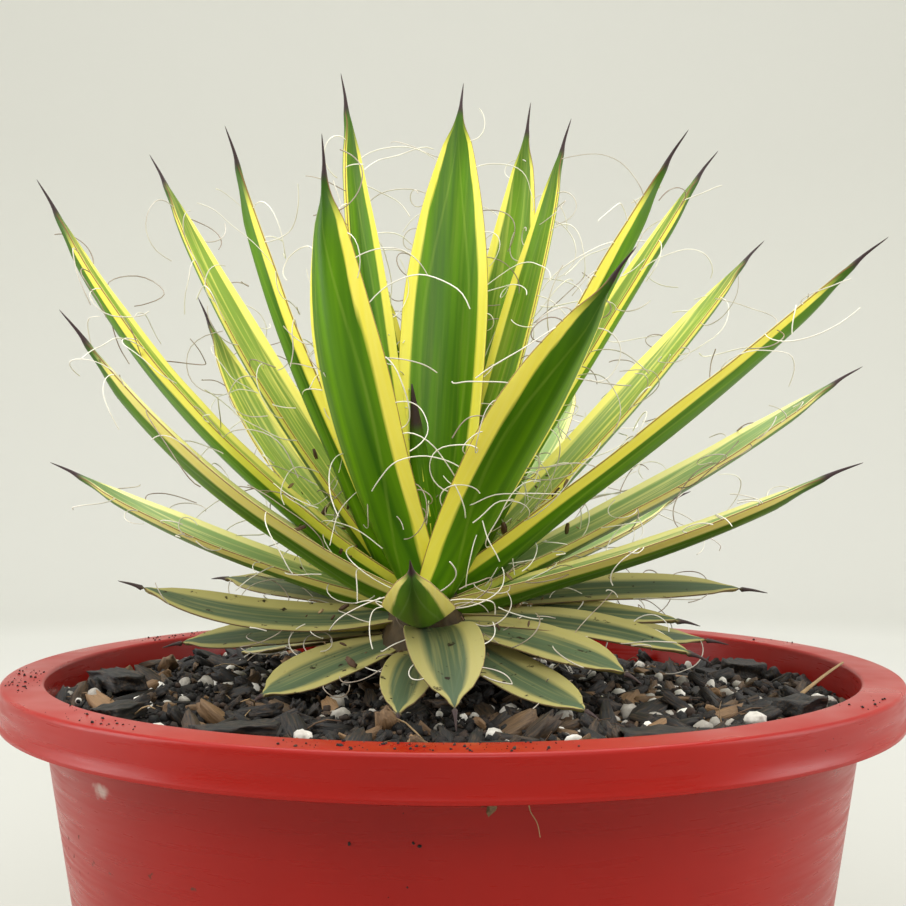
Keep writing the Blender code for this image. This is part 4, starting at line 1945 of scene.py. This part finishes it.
@dataclass
class Crown:
    """Stem, bud and dry scraps at the heart of the rosette."""

    rosette: Rosette
    levels: int = 2
    scrap_seed: int = 8
    bud_turns: int = 32
    bud_rings: int = 24

    def build_stem(self) -> None:
        """Make the stem, ringed by the scars of old leaves."""
        shape = CadShape("stem")
        stem = new_piece("crown_stem", shape.points, shape.triangles.tolist(), OLD_STEM.build())
        subdivide(stem, self.levels)
        middle = self.rosette.crown()
        for corner in stem.data.vertices:
            away = corner.co - Vector((middle[0], middle[1], corner.co.z))
            scar = math.sin(corner.co.z * 2200) * 0.4 * MM
            rough = noise.noise(corner.co * 350) * 0.8 * MM
            if away.length > MM:
                corner.co += away.normalized() * (scar + rough)
        set_values(stem.data, "tone", np.full(len(stem.data.vertices), 0.4))
        settle(stem, Slot.STEM, "stem")

    def build_bud(self) -> None:
        """Make the bud: young leaves rolled round each other to a point."""
        points = CadShape("bud").points
        foot, tip = points[points[:, 2].argmin()], points[points[:, 2].argmax()]
        low = points[points[:, 2] < points[:, 2].min() + 4 * MM].mean(0)
        axis = (tip - low) / np.linalg.norm(tip - low)
        start = low + axis * ((foot - low) @ axis)
        length = (tip - start) @ axis
        across = np.cross(axis, (0, 1, 0))
        across /= np.linalg.norm(across)
        other = np.cross(axis, across)
        girth = np.linalg.norm(np.cross(points - start, axis), axis=1).max()
        rows, marks = [], []
        for ring in range(self.bud_rings):
            share = ring / (self.bud_rings - 1)
            radius = girth * min(1.0, 0.8 + share * 1.4) * (1 - share**1.6) + 0.15 * MM
            for turn in range(self.bud_turns):
                angle = math.tau * turn / self.bud_turns
                wrap = (angle * 3 / math.tau + share * 0.4) % 1.0
                out = radius * (1 + 0.08 * wrap)
                way = across * math.cos(angle) + other * math.sin(angle)
                rows.append(start + axis * share * length + way * out)
                away = (1 - share) * length / MM
                marks.append((wrap * 1.6 - 0.8, share, 30.0, away, 0.0, out * angle / MM))
        faces = ring_faces(self.bud_rings, self.bud_turns)
        last = (self.bud_rings - 1) * self.bud_turns
        faces.append(tuple(reversed(range(self.bud_turns))))
        faces.append(tuple(range(last, last + self.bud_turns)))
        bud = new_piece("crown_bud", np.array(rows), faces, LEAF_FINISHES[Age.YOUNG].build())
        for name, column in zip(BLADE_MARKS, np.array(marks).T):
            set_values(bud.data, name, column)
        set_values(bud.data, "tone", np.full(len(rows), 0.37))
        settle(bud, Slot.BUD, "bud")

    def build_scraps(self, tree: bpy.types.NodeTree) -> None:
        """Strew dry scraps over the bases of the leaves.

        Args:
            tree: The strewing tree.
        """
        points, faces = [], []
        for blade in self.rosette.blades:
            if blade.node.startswith("upper_leaf_1"):
                continue
            for share in (0.1, 0.22):
                left = blade.margin_place(share, -1)
                right = blade.margin_place(share, 1)
                rise = left[2] * 1.2 * MM
                ahead = left[3] * 6 * MM
                start = len(points)
                points += [left[0] + rise, right[0] + rise, right[0] + rise + ahead]
                points.append(left[0] + rise + ahead)
                faces.append((start, start + 1, start + 2, start + 3))
        strewing = Strewing(3.0 * MM, 24000, 0.7 * MM, 3.2 * MM, 1.5, seed=self.scrap_seed)
        flakes = Prototypes("flake", 5, 17).slivers()
        scraps = strewing.apply(
            "crown_scraps", (np.array(points), faces), flakes, tree, DRY_SCRAP.build()
        )
        settle(scraps, Slot.BARK)

    def build(self, tree: bpy.types.NodeTree) -> None:
        """Make the whole crown."""
        self.build_stem()
        self.build_bud()
        self.build_scraps(tree)


@dataclass
class PotDirt:
    """Crumbs that stick to the pot, and the stray fibres that lie on it."""

    pot: PotSizes
    turns: int = 90
    fibre_sides: int = 6
    fibre_steps: int = 28

    def band(self, rows: list[tuple[float, float]]) -> tuple[np.ndarray, list]:
        """Turn an open strip round the pot.

        Args:
            rows: Radius and height of each row.

        Returns:
            Points and faces of the strip.
        """
        return np.array(turned(rows, self.turns)), ring_faces(len(rows), self.turns)

    def build(self, tree: bpy.types.NodeTree) -> None:
        """Strew crumbs over the rim and the wall, and lay the fibres.

        Args:
            tree: The strewing tree.
        """
        s = self.pot
        compost = COMPOST.build()
        crumbs = Prototypes("speck", 5, 29).grains(1)
        rim = self.band(
            [(s.mouth_inner + MM, s.height), (s.rim_radius - 1.2 * MM, s.height + 0.05 * MM)]
        )
        on_rim = Strewing(0.5 * MM, 300000, 0.15 * MM, 1.0 * MM, 1.5, 22.0, 0.47, seed=12)
        settle(on_rim.apply("rim_crumbs", rim, crumbs, tree, compost), Slot.MIX)
        collar = self.band(
            [(s.rim_radius, s.height - 1.5 * MM), (s.rim_radius, s.collar_foot + 0.5 * MM)]
        )
        on_collar = Strewing(0.6 * MM, 120000, 0.12 * MM, 0.7 * MM, 1.5, 34.0, 0.66, seed=14)
        settle(on_collar.apply("collar_crumbs", collar, crumbs, tree, compost), Slot.MIX)
        self.lay_fibres()
        low = s.under_collar - 90 * MM
        slope = (s.body_top - s.base_radius) / s.under_collar
        wall = self.band(
            [(s.body_top - slope * (s.under_collar - z), z) for z in (s.collar_foot - 2 * MM, low)]
        )
        on_wall = Strewing(0.9 * MM, 50000, 0.2 * MM, 0.9 * MM, 1.5, 30.0, 0.68, seed=13)
        settle(on_wall.apply("wall_crumbs", wall, crumbs, tree, compost), Slot.MIX)

    def lay_fibres(self) -> None:
        """Lean a bit of straw on the mix by the right rim, and hang a root hair on the wall."""
        s, mouth = self.pot, self.pot.mouth_inner
        out = s.body_top + 0.4 * MM
        straw = [
            (mouth - 14.5 * MM, -18.0 * MM, s.height - 4.5 * MM),
            (mouth - 11.0 * MM, -16.0 * MM, s.height - 2.5 * MM),
            (mouth - 6.5 * MM, -13.0 * MM, s.height - 0.2 * MM),
            (mouth - 2.8 * MM, -11.0 * MM, s.height + 1.6 * MM),
        ]
        hair = [
            (11.8 * MM, -out, s.collar_foot - 0.2 * MM),
            (12.2 * MM, -out + 0.1 * MM, s.collar_foot - 2.5 * MM),
            (13.3 * MM, -out + 0.4 * MM, s.collar_foot - 4.5 * MM),
            (13.8 * MM, -out + 0.7 * MM, s.collar_foot - 6.8 * MM),
        ]
        dry = DRY_SCRAP.build()
        for name, route, thickness in (
            ("stray_straw", straw, 0.9 * MM), ("root_hair", hair, 0.24 * MM)
        ):
            self.lay_fibre(name, np.array(route), thickness, dry)

    def lay_fibre(
        self, name: str, route: np.ndarray, thickness: float, material: bpy.types.Material
    ) -> None:
        """Draw one flattened fibre that thins to half towards its end.

        Args:
            name: Name of the piece.
            route: Points that the fibre passes through.
            thickness: Thickness at its start.
            material: Finish of the fibre.
        """
        steps = np.linspace(0, len(route) - 1, self.fibre_steps)
        middle = curve_through(np.arange(len(route)), route, steps)
        sides = self.fibre_sides
        points = []
        for number, place in enumerate(middle):
            half = thickness / 2 * (1 - 0.5 * number / len(middle))
            points += [
                place + half * np.array([math.cos(a), 0.4 * math.sin(a), math.sin(a)])
                for a in np.linspace(0, math.tau, sides, endpoint=False)
            ]
        ends = [tuple(range(sides))[::-1], tuple(range(len(points) - sides, len(points)))]
        faces = ring_faces(len(middle), sides) + ends
        fibre = new_piece(name, np.array(points), faces, material)
        set_values(fibre.data, "tone", np.full(len(points), 0.9))
        set_values(fibre.data, "own_place", np.array(points) / (10 * MM))
        settle(fibre, Slot.BARK)


@dataclass
class Studio:
    """Pale sweep, soft lights and the camera."""

    rim_height: float
    floor_radius: float = 1.7
    cove_radius: float = 0.6
    wall_top: float = 1.5
    turns: int = 96
    cove_steps: int = 12
    camera_distance: float = 0.284
    camera_rise: float = 0.039
    camera_tilt: float = 2.1
    lens: float = 47.68

    def build(self) -> None:
        """Make everything round the plant."""
        self.build_sweep()
        self.build_lights()
        self.build_camera()

    def build_sweep(self) -> None:
        """Make the floor, which curves up into a round wall."""
        rows = [(self.floor_radius, 0.0)]
        for step in range(1, self.cove_steps + 1):
            angle = math.radians(90 * step / self.cove_steps)
            rows.append(
                (
                    self.floor_radius + self.cove_radius * math.sin(angle),
                    self.cove_radius * (1 - math.cos(angle)),
                )
            )
        rows.append((self.floor_radius + self.cove_radius, self.wall_top))
        floor = tuple(range(self.turns))
        wall = [face[::-1] for face in ring_faces(len(rows), self.turns)]
        sweep = new_object("pale_sweep", turned(rows, self.turns), [floor, *wall])
        sweep.data.shade_smooth()
        sweep.data.materials.append(self.paper())

    def paper(self) -> bpy.types.Material:
        """Return the sweep's finish: matt background paper, a little cloudy."""
        material, tree, shader = start_material("matt_backdrop_paper")
        place = add_node(tree, "ShaderNodeTexCoord").outputs["Object"]
        level = add_node(
            tree, "ShaderNodeVectorMath", {0: place, 1: (1.0, 1.0, 0.0)}, operation="MULTIPLY"
        )
        away = add_node(
            tree, "ShaderNodeVectorMath", {0: level}, operation="LENGTH"
        ).outputs["Value"]
        # Painted shade: the paper is painted greyer round the pot, under the strongest light, and
        # paler farther out.
        painted_shade_ramp = add_node(
            tree, "ShaderNodeMapRange", {"Value": away, "From Min": 0.25, "From Max": 1.5}
        )
        cloud = add_node(
            tree, "ShaderNodeTexNoise", {"Vector": place, "Scale": 1.2, "Detail": 2.0}
        ).outputs["Fac"]
        tint = add_node(
            tree, "ShaderNodeMath", {0: cloud, 1: 0.1, 2: painted_shade_ramp}, operation="MULTIPLY_ADD"
        )
        colour = add_node(
            tree,
            "ShaderNodeMix",
            {"Factor": tint, "A": linear("#a5a49c"), "B": linear("#ebebe5")},
            data_type="RGBA",
        )
        tree.links.new(live_output(colour), shader.inputs["Base Color"])
        shader.inputs["Roughness"].default_value = 0.9
        return material

    def build_lights(self) -> None:
        """Hang broad panels overhead, at the sides, in front and behind, under a pale sky."""
        world = bpy.data.worlds.new("pale_room")
        world.use_nodes = True
        background = world.node_tree.nodes["Background"]
        background.inputs["Color"].default_value = linear("#f2f1ea")
        background.inputs["Strength"].default_value = 0.6
        bpy.context.scene.world = world
        plant, wall = Vector((0.0, 0.0, self.rim_height)), Vector((0.0, 2.2, 0.55))
        panels = (
            ("overhead", (0.0, 0.2, 1.25), (1.2, 1.0), 12.5, plant),
            ("left", (-0.95, -0.1, 0.5), (0.5, 0.8), 6.5, plant),
            ("right", (0.95, -0.1, 0.5), (0.5, 0.8), 5.8, plant),
            ("front", (0.0, -0.95, 1.05), (0.9, 0.5), 6.5, plant),
            ("backdrop_wash", (0.0, 0.75, 1.75), (1.6, 1.6), 6.0, wall),
        )
        for name, place, size, power, aim in panels:
            light = bpy.data.lights.new(name, "AREA")
            light.shape = "RECTANGLE"
            light.size, light.size_y = size
            light.energy = power
            lamp = bpy.data.objects.new(name, light)
            lamp.location = place
            lamp.rotation_euler = (aim - Vector(place)).to_track_quat("-Z", "Y").to_euler()
            lamp.visible_camera = False
            bpy.context.scene.collection.objects.link(lamp)

    def build_camera(self) -> None:
        """Set the camera a little above the rim, tilted slightly up."""
        camera = bpy.data.cameras.new("camera")
        camera.lens = self.lens
        camera.clip_start = 0.01
        holder = bpy.data.objects.new("camera", camera)
        holder.location = (0.0, -self.camera_distance, self.rim_height + self.camera_rise)
        holder.rotation_euler = (math.radians(90 + self.camera_tilt), 0.0, 0.0)
        bpy.context.scene.collection.objects.link(holder)
        bpy.context.scene.camera = holder
        bpy.context.scene.view_settings.view_transform = "Standard"


def main() -> None:
    """Build the plant, its pot and the studio."""
    logging.basicConfig(level=logging.INFO, format="%(name)s: %(message)s")
    for spare in [o for o in bpy.data.objects if o.name in ("Camera", "Light", "Cube")]:
        bpy.data.objects.remove(spare)
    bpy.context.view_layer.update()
    strewing = scatter_tree()
    pot = NurseryPot()
    pot.build()
    bark = PottingMix(strewing, pot.sizes).build()
    LoosePieces(bark, PERLITE.build()).build()
    rosette = Rosette()
    rosette.build()
    Crown(rosette).build(strewing)
    PotDirt(pot.sizes).build(strewing)
    Studio(pot.sizes.height).build()


if __name__ == "__main__":
    main()
